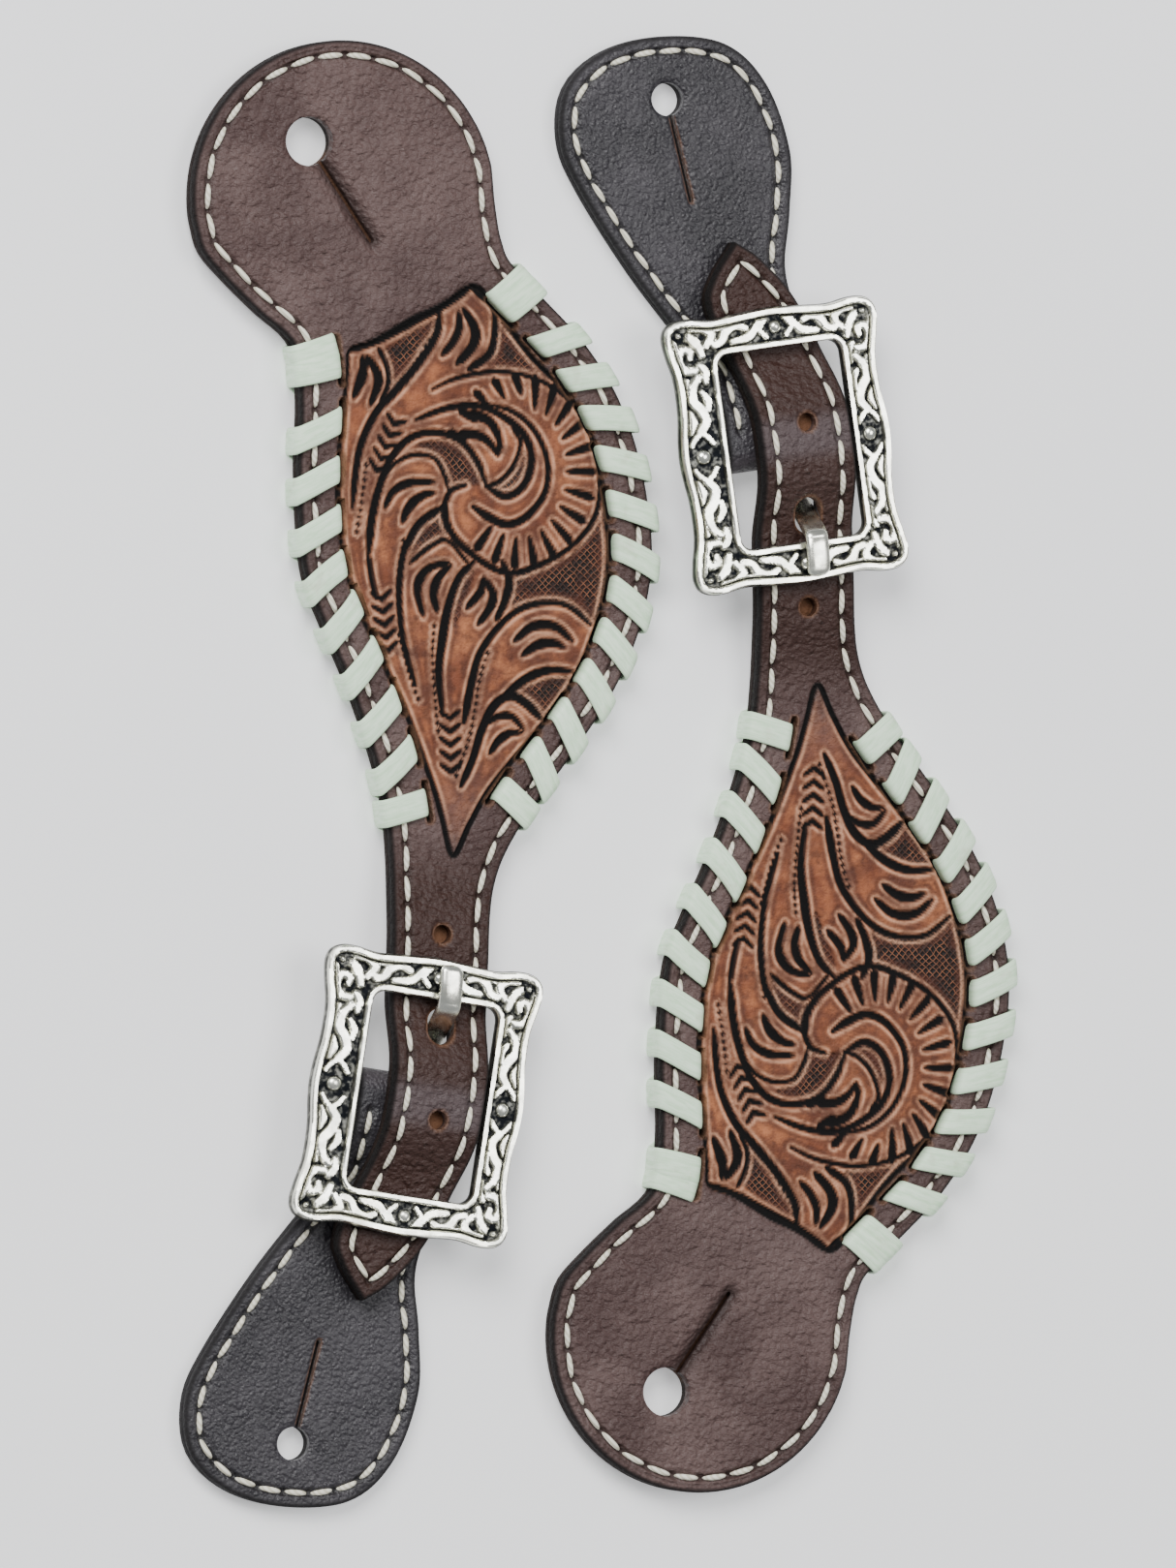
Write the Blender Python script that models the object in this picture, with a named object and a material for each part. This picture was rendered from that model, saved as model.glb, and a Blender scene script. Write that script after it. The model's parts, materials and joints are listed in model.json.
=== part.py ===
"""A pair of western spur straps, lying flat and buckled, one for each foot.

Each strap is a long two-ply leather strap (a button tab, a broad laced panel and a narrow billet),
buckled to a short two-ply buckle strap that is folded round the middle bar of an engraved buckle.
Lengths are in millimetres. The second strap is the first one's mirror image, turned end for end.
"""

import math

import bmesh
import bpy
from mathutils import Matrix, Vector

MM = 0.001
GAP = 0.3  # between pieces that touch

# Leather
FACE_THICKNESS = 2.4
LINING_THICKNESS = 1.5
SHORT_PLY_THICKNESS = 1.6
OUTLINE_STEP = 5.5  # spacing of the points along an outline
LACE_STEP = 0.8  # and along an edge that is laced, so that the laces stand square to it
BEND_STEP = 2.0  # spacing of the cuts that let a ply bend

# Long strap: the origin is the middle of the buckle's bar, +Y towards the button tab
TAB_CENTRE = (-10.8, 137.8)
TAB_RADIUS = 24.4
TAB_ARC_DEG = (12, 188)
WAIST_LEFT = (-18.9, 115.2)
WAIST_RIGHT = (17.1, 127.2)
BILLET_TIP = (-8.6, -31.2)
TAB_LEFT_SIDE = [(-33.5, 129.5), (-29.7, 125.2), (-24.6, 120.4), WAIST_LEFT]
TAB_RIGHT_SIDE = [WAIST_RIGHT, (14.7, 131.5), (13.7, 136.5)]
PANEL_LEFT_SIDE = [WAIST_LEFT, (-17.8, 107.0), (-18.1, 95.0), (-17.1, 81.0), (-13.9, 72.3),
                   (-10.2, 64.0), (-6.5, 54.0), (-4.2, 45.5), (-3.3, 37.0), (-3.7, 28.0),
                   (-4.2, 15.0), (-4.9, 2.0), (-7.5, -9.5), (-12.6, -20.5), (-12.0, -25.5), BILLET_TIP]
PANEL_RIGHT_SIDE = [WAIST_RIGHT, (28.5, 115.5), (35.4, 103.5), (38.9, 88.0), (38.2, 76.0),
                    (33.6, 63.8), (26.0, 52.5), (18.4, 42.6), (14.0, 34.5), (12.0, 26.0),
                    (11.3, 14.0), (10.1, 1.0), (7.6, -10.5), (1.8, -22.0), (-4.2, -28.5), BILLET_TIP]
TAB_HOLE = (-16.5, 146.6)
TAB_HOLE_DIAMETER = 7.6
TAB_SLIT_END = (-6.3, 131.5)
TAB_SLIT_WIDTH = 1.4
BILLET_HOLES = [(4.1, 25.0), (2.2, -3.5)]
BILLET_HOLE_DIAMETER = 3.8
PIN_HOLE_LENGTH = 6.8  # the hole that the tongue stands in, along the buckle
PIN_HOLE_WIDTH = 4.6
PIN_HOLE_AT = 10.6  # from the bar, along the buckle

# Seams: a thread in a V-shaped groove
SEAM_INSET = 2.3
THREAD_HALF_WIDTH = 0.42
THREAD_DROP = 0.32  # the thread's middle, under the leather's surface
GROOVE_HALF_WIDTH = 1.3
GROOVE_RISE = 0.3
GROOVE_DEPTH = 1.15

# Lacing: one flat strip wound round each edge of the panel, through slits
LACE_WIDTH = 4.4
LACE_THICKNESS = 0.7
LACE_CLEARANCE = 0.4  # between the strip and the leather
LACE_SLIT_INSET = 5.8  # from the edge
LACE_FACE_SHARE = 0.4  # of the pitch that is gained across the face, the rest across the back
LEFT_RUN = {"wraps": 10, "first": 3.5, "last": 73.5}  # places along the edge, from the waist
RIGHT_RUN = {"wraps": 13, "first": 3.0, "last": 96.0}

# Buckle: u runs along the bar, v towards the long strap
BUCKLE_TURN_DEG = -9.0
BAR_Z = 3.7
BAR_RADIUS = 1.5
BAR_HALF_LENGTH = 14.4
FRAME_THICKNESS = 2.4
WINDOW = (20.7, 30.7)
WINDOW_CORNER = 2.5
FRAME_BEVEL = 0.45
FRAME_SHIFT = -0.8  # the outside is this far off the window, across the buckle
FRAME_QUADRANT = [(0.0, 21.5), (5.0, 21.3), (9.5, 20.9), (13.5, 21.6), (16.4, 21.5),
                  (17.5, 19.8), (17.1, 16.3), (16.0, 12.0), (16.2, 7.0), (16.9, 3.0), (17.0, 0.0)]
LUG_AT = 13.4  # the lugs that hold the bar, from the middle of the buckle
LUG_SIZE = (2.6, 6.0)
TONGUE_AT = 2.6  # off the buckle's middle
TONGUE_LEAN = -0.08  # sideways, for each step along the buckle
TONGUE_WIDTH = 3.6
TONGUE_THICKNESS = 1.7
TONGUE_RING_RADIUS = 3.1
TONGUE_LINE = [(2.0, 0.0), (8.0, 0.0), (9.0, 0.6), (13.6, 7.4), (15.0, 8.4), (17.5, 8.65),
               (19.8, 8.5), (20.7, 8.3)]

# Buckle strap, as it is cut: u across, t along, with t = 0 where it starts round the bar
NECK_HALF_WIDTH = 9.2
FLAP_END = 17.0  # how far the folded end runs back under the strap
SHORT_LEFT_SIDE = [(-NECK_HALF_WIDTH, -12.5), (-13.5, -19.5), (-19.8, -30.2), (-25.9, -43.0),
                   (-28.1, -51.0), (-26.2, -59.0), (-19.8, -63.8), (-10.3, -65.2), (0.4, -62.8),
                   (6.4, -55.8), (8.8, -45.0), (7.4, -35.5), (5.5, -27.5), (6.2, -21.0),
                   (NECK_HALF_WIDTH, -12.5)]
SHORT_HOLE = (-10.0, -55.4)
SHORT_HOLE_DIAMETER = 5.2
SHORT_SLIT_END = (-8.4, -39.4)
SHORT_SLIT_WIDTH = 1.0
TONGUE_SLOT_MARGIN = 0.45  # at each side of the tongue's ring
TONGUE_SLOT_REACH = 5.0  # how far the slot runs on past the fold, both ways
RISE_NEAR, RISE_FAR = 4.0, 15.0  # where the plies start and stop coming down from the bar

# Where the two straps lie, and what the pieces are made of
LEFT_PLACE = ((-31.5, -50.4), 0.0)
RIGHT_PLACE = ((28.4, 50.1), -0.8)
COLOURS = {
    "brown_leather": ((0.085, 0.043, 0.034), 0.5, 0.0),
    "dark_leather": ((0.030, 0.021, 0.022), 0.45, 0.0),
    "lining_leather": ((0.060, 0.034, 0.027), 0.6, 0.0),
    "thread": ((0.75, 0.70, 0.58), 0.8, 0.0),
    "rawhide_lace": ((0.62, 0.66, 0.54), 0.6, 0.0),
    "antique_silver": ((0.62, 0.60, 0.52), 0.3, 1.0),
    "steel": ((0.55, 0.54, 0.50), 0.35, 1.0),
}

# Heights that follow from the sizes above
LACE_BOTTOM = LACE_CLEARANCE + LACE_THICKNESS
LINING_Z = LACE_BOTTOM
FACE_Z = LINING_Z + LINING_THICKNESS + GAP
FACE_TOP = FACE_Z + FACE_THICKNESS
FOLD_INNER = BAR_RADIUS + GAP
FOLD_OUTER = FOLD_INNER + SHORT_PLY_THICKNESS
FOLD_ARC = math.pi * (FOLD_INNER + SHORT_PLY_THICKNESS / 2)
SHORT_FACE_Z = SHORT_PLY_THICKNESS + GAP
SHORT_TOP = SHORT_FACE_Z + SHORT_PLY_THICKNESS
BILLET_LIFT = SHORT_TOP + GAP - LINING_Z  # over the buckle strap and under the frame's end bars
HUMP_LIFT = BAR_Z + FOLD_OUTER + GAP - LINING_Z  # over the fold
FRAME_Z = FACE_TOP + BILLET_LIFT + LACE_CLEARANCE
LIFT_START, LIFT_END = 38.0, 23.0  # where the billet rises from the table to the frame

BUCKLE_TURN = math.radians(BUCKLE_TURN_DEG)
BUCKLE_UP = Vector((-math.sin(BUCKLE_TURN), math.cos(BUCKLE_TURN)))


# Plan geometry


def smooth(knots, step=OUTLINE_STEP):
    """Points about a step apart on the Catmull-Rom curve through the knots, both ends included."""
    knots = [Vector(k) for k in knots]
    ends = [2 * knots[0] - knots[1], *knots, 2 * knots[-1] - knots[-2]]
    points = [knots[0]]
    for a, b, c, d in zip(ends, ends[1:], ends[2:], ends[3:]):
        count = max(1, round((c - b).length / step))
        for i in range(1, count + 1):
            t = i / count
            points.append(0.5 * (2 * b + (c - a) * t + (2 * a - 5 * b + 4 * c - d) * t**2
                                 + (3 * b - a - 3 * c + d) * t**3))
    return points


def arc(centre, radius, start_deg, end_deg, count):
    angles = [math.radians(start_deg + (end_deg - start_deg) * i / count) for i in range(count + 1)]
    return [Vector(centre) + radius * Vector((math.cos(a), math.sin(a))) for a in angles]


def stadium(start, end, width):
    """A slot with round ends between two centres."""
    heading = math.degrees(math.atan2(end.y - start.y, end.x - start.x))
    return (arc(end, width / 2, heading - 90, heading + 90, 4)
            + arc(start, width / 2, heading + 90, heading + 270, 4))


def round_hole(centre, diameter):
    return arc(centre, diameter / 2, 0, 360, 14)[:-1]


def keyhole(centre, diameter, slit_end, slit_width):
    """A button hole: a round hole that runs out into a slit."""
    along = (Vector(slit_end) - Vector(centre)).normalized()
    heading = math.degrees(math.atan2(along.y, along.x))
    mouth = math.degrees(math.asin(slit_width / diameter))
    side = Vector((-along.y, along.x)) * slit_width / 2
    return (arc(centre, diameter / 2, heading + mouth, heading + 360 - mouth, 14)
            + [Vector(slit_end) - side, Vector(slit_end) + side])


def rounded_rectangle(width, height, corner):
    points = []
    for i, (x, y) in enumerate([(1, 1), (-1, 1), (-1, -1), (1, -1)]):
        centre = (x * (width / 2 - corner), y * (height / 2 - corner))
        points += arc(centre, corner, 90 * i, 90 * i + 90, 3)
    return points


def normals(points, closed):
    """For each point, the unit vector to the left of the way the line runs, and the mitre's stretch."""
    found = []
    for i, point in enumerate(points):
        before = points[i - 1] if closed or i else None
        after = points[(i + 1) % len(points)] if closed or i + 1 < len(points) else None
        ways = [way.normalized() for way in (before and point - before, after and after - point) if way]
        lefts = [Vector((-way.y, way.x)) for way in ways]
        mitre = sum(lefts, Vector((0, 0))).normalized()
        found.append((mitre, 1 / max(0.5, mitre.dot(lefts[0]))))
    return found


def inset(points, distance, closed=True):
    """The line moved to its left, which is inwards on an outline that runs anticlockwise."""
    return [p + n * stretch * distance for p, (n, stretch) in zip(points, normals(points, closed))]


def place_at(points, distance):
    """The point that far along a line, and the unit vector along it there."""
    for a, b in zip(points, points[1:]):
        length = (b - a).length
        if distance <= length:
            return a + (b - a) * distance / length, (b - a).normalized()
        distance -= length
    return points[-1], (points[-1] - points[-2]).normalized()


def buckle_point(u, v):
    """A point given along the bar and along the buckle, in the strap's own axes."""
    return Vector((u * BUCKLE_UP.y + v * BUCKLE_UP.x, -u * BUCKLE_UP.x + v * BUCKLE_UP.y))


# Heights


def ease(start, end, value):
    """0 at start and 1 at end, with a smooth run between."""
    t = min(1.0, max(0.0, (value - start) / (end - start)))
    return t * t * (3 - 2 * t)


def billet_lift(point):
    """How far the long strap is lifted where it goes through the buckle."""
    v = Vector(point[:2]).dot(BUCKLE_UP)
    hump = (HUMP_LIFT - BILLET_LIFT) * ease(RISE_FAR, RISE_NEAR, abs(v))
    return BILLET_LIFT * ease(LIFT_START, LIFT_END, v) + hump


def fold(u, t, w):
    """Where a point of the flat-cut buckle strap lies round the bar, which is at height 0 here.

    w is its height over the strap's inner side, the side that touches the bar."""
    if t <= 0:
        rise = (FOLD_INNER - (SHORT_FACE_Z - BAR_Z)) * ease(RISE_FAR, RISE_NEAR, -t)
        return Vector((u, t, SHORT_FACE_Z - BAR_Z + rise + w))
    if t < FOLD_ARC:
        angle = math.pi / 2 - math.pi * t / FOLD_ARC
        radius = FOLD_INNER + w
        return Vector((u, radius * math.cos(angle), radius * math.sin(angle)))
    v = FOLD_ARC - t
    inner = -FOLD_INNER - (BAR_Z - FOLD_OUTER) * ease(RISE_NEAR, RISE_FAR, -v)
    return Vector((u, v, inner - w))


# Solids


def mesh_from(name, bm):
    bmesh.ops.recalc_face_normals(bm, faces=bm.faces)
    mesh = bpy.data.meshes.new(name)
    bm.to_mesh(mesh)
    bm.free()
    return mesh


def plate(name, loops, bottom, thickness):
    """A flat ply: the first loop is its outline and the others are its holes."""
    curve = bpy.data.curves.new(name, "CURVE")
    curve.dimensions = "2D"
    curve.fill_mode = "BOTH"
    curve.extrude = thickness / 2
    for loop in loops:
        spline = curve.splines.new("POLY")
        spline.points.add(len(loop) - 1)
        for point, place in zip(spline.points, loop):
            point.co = (place[0], place[1], 0, 1)
        spline.use_cyclic_u = True
    bm = bmesh.new()
    bm.from_mesh(mesh_of(bpy.data.objects.new(name, curve)))
    bmesh.ops.remove_doubles(bm, verts=bm.verts, dist=1e-4)
    bmesh.ops.translate(bm, verts=bm.verts, vec=(0, 0, bottom + thickness / 2))
    return mesh_from(name, bm)


def mesh_of(obj):
    """The object's mesh with its modifiers applied. The object itself is dropped."""
    bpy.context.scene.collection.objects.link(obj)
    graph = bpy.context.evaluated_depsgraph_get()
    mesh = bpy.data.meshes.new_from_object(obj.evaluated_get(graph))
    bpy.data.objects.remove(obj)
    return mesh


def sweep(name, path, section, closed):
    """A bar of one section along a level path. The section's points are (to the left, up)."""
    bm = bmesh.new()
    rings = []
    for place, (left, stretch) in zip(path, normals([Vector(p[:2]) for p in path], closed)):
        side = Vector((left.x, left.y, 0)) * stretch
        middle = Vector(place).to_3d()
        rings.append([bm.verts.new(middle + side * a + Vector((0, 0, b))) for a, b in section])
    pairs = list(zip(rings, rings[1:])) + ([(rings[-1], rings[0])] if closed else [])
    for ring, following in pairs:
        for i in range(len(section)):
            j = (i + 1) % len(section)
            bm.faces.new((ring[i], ring[j], following[j], following[i]))
    if not closed:
        bm.faces.new(rings[0])
        bm.faces.new(rings[-1])
    return mesh_from(name, bm)


def boolean(mesh, cutter_mesh, operation="DIFFERENCE"):
    base = bpy.data.objects.new(mesh.name, mesh)
    cutter = bpy.data.objects.new("cutter", cutter_mesh)
    bpy.context.scene.collection.objects.link(cutter)
    modifier = base.modifiers.new("cut", "BOOLEAN")
    modifier.operation = operation
    modifier.solver = "EXACT"
    modifier.object = cutter
    result = mesh_of(base)
    bpy.data.objects.remove(cutter)
    return result


def slice_across(mesh, places, along):
    """Cuts the mesh's faces across, so that it can bend there."""
    bm = bmesh.new()
    bm.from_mesh(mesh)
    for place in places:
        everything = bm.verts[:] + bm.edges[:] + bm.faces[:]
        bmesh.ops.bisect_plane(bm, geom=everything, dist=1e-5, plane_co=along * place, plane_no=along)
    bmesh.ops.triangulate(bm, faces=bm.faces)
    bm.to_mesh(mesh)
    bm.free()
    return mesh


def reshape(mesh, move):
    for vertex in mesh.vertices:
        vertex.co = move(vertex.co)
    return mesh


def spaced(start, end, step):
    count = max(1, round(abs(end - start) / step))
    return [start + (end - start) * i / count for i in range(count + 1)]


def thread_section():
    w = THREAD_HALF_WIDTH
    return [(-w, -THREAD_DROP), (0, w - THREAD_DROP), (w, -THREAD_DROP), (0, -w - THREAD_DROP)]


def groove_section():
    return [(-GROOVE_HALF_WIDTH, GROOVE_RISE), (GROOVE_HALF_WIDTH, GROOVE_RISE), (0, -GROOVE_DEPTH)]


# Long strap


def panel_edges(step=OUTLINE_STEP):
    """The panel's left and right edges, each from the waist to the billet's tip."""
    return smooth(PANEL_LEFT_SIDE, step), smooth(PANEL_RIGHT_SIDE, step)


def strap_outline():
    """Anticlockwise: round the tab, down the left edge and up the right one."""
    crown = arc(TAB_CENTRE, TAB_RADIUS, *TAB_ARC_DEG, 16)
    tab = smooth([*TAB_RIGHT_SIDE, *crown, *TAB_LEFT_SIDE])
    left, right = panel_edges()
    return tab[:-1] + left[:-1] + right[:0:-1]


def lace_places(run):
    """For each wrap of one run, its place along the edge."""
    pitch = (run["last"] - run["first"]) / (run["wraps"] - 1)
    return spaced(run["first"], run["last"], pitch)


def beside_edge(edge, inwards, place, depth):
    """The point that far along an edge and that far in from it."""
    point, along = place_at(edge, place)
    return point + Vector((-along.y, along.x)) * inwards * depth


def lace_slits(edge, inwards, run):
    """A slit through both plies for each wrap, a little larger than the strip that stands in it."""
    near, far = LACE_SLIT_INSET - GAP, LACE_SLIT_INSET + LACE_THICKNESS + GAP
    reach = LACE_WIDTH / 2 + GAP
    corners = [(-reach, near), (reach, near), (reach, far), (-reach, far)]
    return [[beside_edge(edge, inwards, place + along, depth) for along, depth in corners]
            for place in lace_places(run)]


def strap_holes():
    left, right = panel_edges(LACE_STEP)
    pin_at = TONGUE_AT + TONGUE_LEAN * PIN_HOLE_AT
    half = (PIN_HOLE_LENGTH - PIN_HOLE_WIDTH) / 2
    pin = [buckle_point(pin_at, PIN_HOLE_AT + side * half) for side in (-1, 1)]
    button_hole = keyhole(TAB_HOLE, TAB_HOLE_DIAMETER, TAB_SLIT_END, TAB_SLIT_WIDTH)
    return [*lace_slits(left, 1, LEFT_RUN), *lace_slits(right, -1, RIGHT_RUN),
            button_hole, stadium(*pin, PIN_HOLE_WIDTH),
            *[round_hole(at, BILLET_HOLE_DIAMETER) for at in BILLET_HOLES]]


def laid_in_buckle(mesh):
    """A ply or a thread of the long strap, lifted where it goes through the buckle."""
    bends = spaced(-RISE_FAR, -RISE_NEAR, BEND_STEP) + spaced(RISE_NEAR, RISE_FAR, BEND_STEP)
    bends += spaced(LIFT_END, LIFT_START, BEND_STEP)
    slice_across(mesh, bends, BUCKLE_UP.to_3d())
    return reshape(mesh, lambda co: co + Vector((0, 0, billet_lift(co))))


def strap_seam():
    return [(p.x, p.y, FACE_TOP) for p in inset(strap_outline(), SEAM_INSET)]


def strap_face():
    flat = plate("strap_face", [strap_outline(), *strap_holes()], FACE_Z, FACE_THICKNESS)
    return laid_in_buckle(boolean(flat, sweep("groove", strap_seam(), groove_section(), True)))


def strap_lining():
    outline = inset(strap_outline(), GAP / 2)
    return laid_in_buckle(plate("strap_lining", [outline, *strap_holes()], LINING_Z, LINING_THICKNESS))


def strap_thread():
    return laid_in_buckle(sweep("strap_thread", strap_seam(), thread_section(), True))


def lace(name, edge, inwards, run):
    """One strip, wound round the edge: up through a slit, out over the face, round and back under."""
    low, high = LINING_Z - LACE_CLEARANCE, FACE_TOP + LACE_CLEARANCE
    slit, outside = LACE_SLIT_INSET, -LACE_CLEARANCE  # how far in from the edge the strip turns
    half = LACE_WIDTH / 2
    places = lace_places(run)
    bm = bmesh.new()
    rings = []
    for place in places:
        end = place + LACE_FACE_SHARE * (places[1] - places[0])
        # each turn: its place along the edge, depth and height, and which way the strip's outside lies
        turns = ((place, slit, low, 1, -1), (place, slit, high, 1, 1),
                 (end, outside, high, -1, 1), (end, outside, low, -1, -1))
        for at, depth, height, inner_to_outer, up in turns:
            outer_depth = depth + inner_to_outer * LACE_THICKNESS
            outer_height = height + up * LACE_THICKNESS
            corners = ((-half, depth, height), (half, depth, height),
                       (half, outer_depth, outer_height), (-half, outer_depth, outer_height))
            rings.append([bm.verts.new((*beside_edge(edge, inwards, at + along, d), z))
                          for along, d, z in corners])
    for ring, following in zip(rings, rings[1:]):
        for i in range(4):
            bm.faces.new((ring[i], ring[(i + 1) % 4], following[(i + 1) % 4], following[i]))
    bm.faces.new(rings[0])
    bm.faces.new(rings[-1])
    bmesh.ops.triangulate(bm, faces=bm.faces)
    return mesh_from(name, bm)


# Buckle, with the bar's middle at the origin


def mirrored_outline(quadrant):
    """All four quarters of an outline, from the knots of the one at +u +v, clockwise from the top."""
    right = quadrant + [(u, -v) for u, v in reversed(quadrant[:-1])]
    return right + [(-u, v) for u, v in reversed(right[1:-1])]


def buckle_frame():
    knots = mirrored_outline(FRAME_QUADRANT)
    outline = [p + Vector((FRAME_SHIFT, 0)) for p in smooth(knots + knots[:1], 2.5)[:-1]]
    window = rounded_rectangle(*WINDOW, WINDOW_CORNER)
    low = FRAME_Z - BAR_Z
    frame = plate("buckle_frame", [outline, window], low, FRAME_THICKNESS)
    bevelled = bpy.data.objects.new("buckle_frame", frame)
    bevel = bevelled.modifiers.new("edges", "BEVEL")
    bevel.width = FRAME_BEVEL
    bevel.limit_method = "ANGLE"
    bevel.angle_limit = math.radians(60)
    frame = mesh_of(bevelled)
    for side in (-1, 1):
        frame = boolean(frame, lug(side * LUG_AT, low + FRAME_THICKNESS / 2), "UNION")
    return frame


def lug(u, top):
    """A lug under a side of the frame, with the hole that the bar is held in."""
    bm = bmesh.new()
    width, length = LUG_SIZE
    bottom = -length / 2
    place = Matrix.Translation((u, 0, (top + bottom) / 2)) @ Matrix.Diagonal((width, length, top - bottom, 1))
    bmesh.ops.create_cube(bm, size=1, matrix=place)
    return boolean(mesh_from("lug", bm), rod("bore", BAR_RADIUS + GAP, u - width, u + width, 14))


def rod(name, radius, start, end, sides):
    bm = bmesh.new()
    place = Matrix.Translation(((start + end) / 2, 0, 0)) @ Matrix.Rotation(math.pi / 2, 4, "Y")
    bmesh.ops.create_cone(bm, cap_ends=True, segments=sides, radius1=radius, radius2=radius,
                          depth=end - start, matrix=place)
    return mesh_from(name, bm)


def buckle_bar():
    return rod("buckle_bar", BAR_RADIUS, -BAR_HALF_LENGTH, BAR_HALF_LENGTH, 16)


def buckle_tongue():
    """A ring round the bar and a bent pin, cut from a bar of the tongue's width."""
    line = smooth(TONGUE_LINE, 1.5)
    half = TONGUE_THICKNESS / 2
    over, under = inset(line, half, closed=False), inset(line, -half, closed=False)
    tip = arc(line[-1], half, -100, 60, 4)[1:-1]
    opening = math.degrees(math.asin(half / TONGUE_RING_RADIUS))
    ring = arc((0, 0), TONGUE_RING_RADIUS, opening, 360 - opening, 18)
    outline = ring + [p for p in under if p.x > TONGUE_RING_RADIUS] + tip
    outline += [p for p in reversed(over) if p.x > TONGUE_RING_RADIUS]
    hole = arc((0, 0), FOLD_INNER, 0, 360, 16)[:-1]
    flat = plate("buckle_tongue", [outline, hole], -TONGUE_WIDTH / 2, TONGUE_WIDTH)
    return reshape(flat, lambda co: Vector((TONGUE_AT + co.z + TONGUE_LEAN * max(0, co.x), co.x, co.y)))


# Buckle strap, with the bar's middle at the origin


def short_outline():
    """As cut, anticlockwise: down the left side, round the tab and up to the folded end."""
    end = FOLD_ARC + FLAP_END
    tab = smooth(SHORT_LEFT_SIDE)
    return [Vector((-NECK_HALF_WIDTH, end)), Vector((-NECK_HALF_WIDTH, 0)), *tab,
            Vector((NECK_HALF_WIDTH, 0)), Vector((NECK_HALF_WIDTH, end))]


def short_keyhole():
    return keyhole(SHORT_HOLE, SHORT_HOLE_DIAMETER, SHORT_SLIT_END, SHORT_SLIT_WIDTH)


def short_seam():
    """The seam's line, from one side of the fold round the tab to the other."""
    return inset(smooth(SHORT_LEFT_SIDE), SEAM_INSET, closed=False)


def buckle_strap_face():
    half = TONGUE_WIDTH / 2 + TONGUE_SLOT_MARGIN
    low, high = -TONGUE_SLOT_REACH, FOLD_ARC + TONGUE_SLOT_REACH
    slot = [Vector((TONGUE_AT + x, t)) for x, t in ((-half, low), (half, low), (half, high), (-half, high))]
    flat = plate("buckle_strap_face", [short_outline(), slot, short_keyhole()], 0, SHORT_PLY_THICKNESS)
    at_top = [(p.x, p.y, SHORT_PLY_THICKNESS) for p in short_seam()]
    cut = boolean(flat, sweep("groove", at_top, groove_section(), False))
    bends = (spaced(-RISE_FAR, -RISE_NEAR, BEND_STEP) + spaced(0, FOLD_ARC, FOLD_ARC / 8)
             + spaced(FOLD_ARC + RISE_NEAR, FOLD_ARC + RISE_FAR, 2 * BEND_STEP))
    return reshape(slice_across(cut, bends, Vector((0, 1, 0))), lambda co: fold(*co))


def buckle_strap_lining():
    """Only under the tab: it ends where the folded end begins."""
    tab = smooth(SHORT_LEFT_SIDE)
    level = -FLAP_END - GAP
    low = [p for p in inset(tab, GAP / 2, closed=False) if p.y < level]
    return plate("buckle_strap_lining", [low, short_keyhole()], -BAR_Z, SHORT_PLY_THICKNESS)


def buckle_strap_thread():
    path = [fold(p.x, p.y, SHORT_PLY_THICKNESS) for p in short_seam()]
    return sweep("buckle_strap_thread", path, thread_section(), False)


# Assembly


def make_material(name):
    colour, roughness, metallic = COLOURS[name]
    material = bpy.data.materials.new(name)
    material.use_nodes = True
    shader = material.node_tree.nodes["Principled BSDF"]
    shader.inputs["Base Color"].default_value = (*colour, 1)
    shader.inputs["Roughness"].default_value = roughness
    shader.inputs["Metallic"].default_value = metallic
    material.diffuse_color = (*colour, 1)
    return material


def make_meshes():
    """One strap's pieces: for each, its mesh, its material and whether it is placed by the bar."""
    left, right = panel_edges(LACE_STEP)
    return [
        (strap_face(), "brown_leather", False),
        (strap_lining(), "lining_leather", False),
        (strap_thread(), "thread", False),
        (lace("lace_outer", left, 1, LEFT_RUN), "rawhide_lace", False),
        (lace("lace_inner", right, -1, RIGHT_RUN), "rawhide_lace", False),
        (buckle_frame(), "antique_silver", True),
        (buckle_bar(), "steel", True),
        (buckle_tongue(), "antique_silver", True),
        (buckle_strap_face(), "dark_leather", True),
        (buckle_strap_lining(), "dark_leather", True),
        (buckle_strap_thread(), "thread", True),
    ]


def empty(name, place, turn, parent=None):
    """An empty that other pieces hang from. Its place is in metres."""
    obj = bpy.data.objects.new(name, None)
    obj.location = place
    obj.rotation_euler = (0, 0, turn)
    obj.parent = parent
    bpy.context.scene.collection.objects.link(obj)
    return obj


def make_strap(side, pieces, materials, place, turn_deg, mirrored):
    """One strap of the pair. The mirrored one is flipped end for end, so that it fits the other foot."""
    flip = -1 if mirrored else 1
    strap = empty(f"{side}_strap_origin", (*(c * MM for c in place), 0), math.radians(turn_deg))
    bar = empty(f"{side}_bar_axis", (0, 0, BAR_Z * MM), flip * BUCKLE_TURN, strap)
    for mesh, material, on_bar in pieces:
        copy = mesh.copy()
        copy.transform(Matrix.Diagonal((MM, flip * MM, MM, 1)))
        if mirrored:
            copy.flip_normals()
        copy.materials.clear()
        copy.materials.append(materials[material])
        copy.shade_smooth()
        copy.set_sharp_from_angle(angle=math.radians(35))
        obj = bpy.data.objects.new(f"{side}_{mesh.name.split('.')[0]}", copy)
        obj.parent = bar if on_bar else strap
        bpy.context.scene.collection.objects.link(obj)
    return strap


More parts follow.
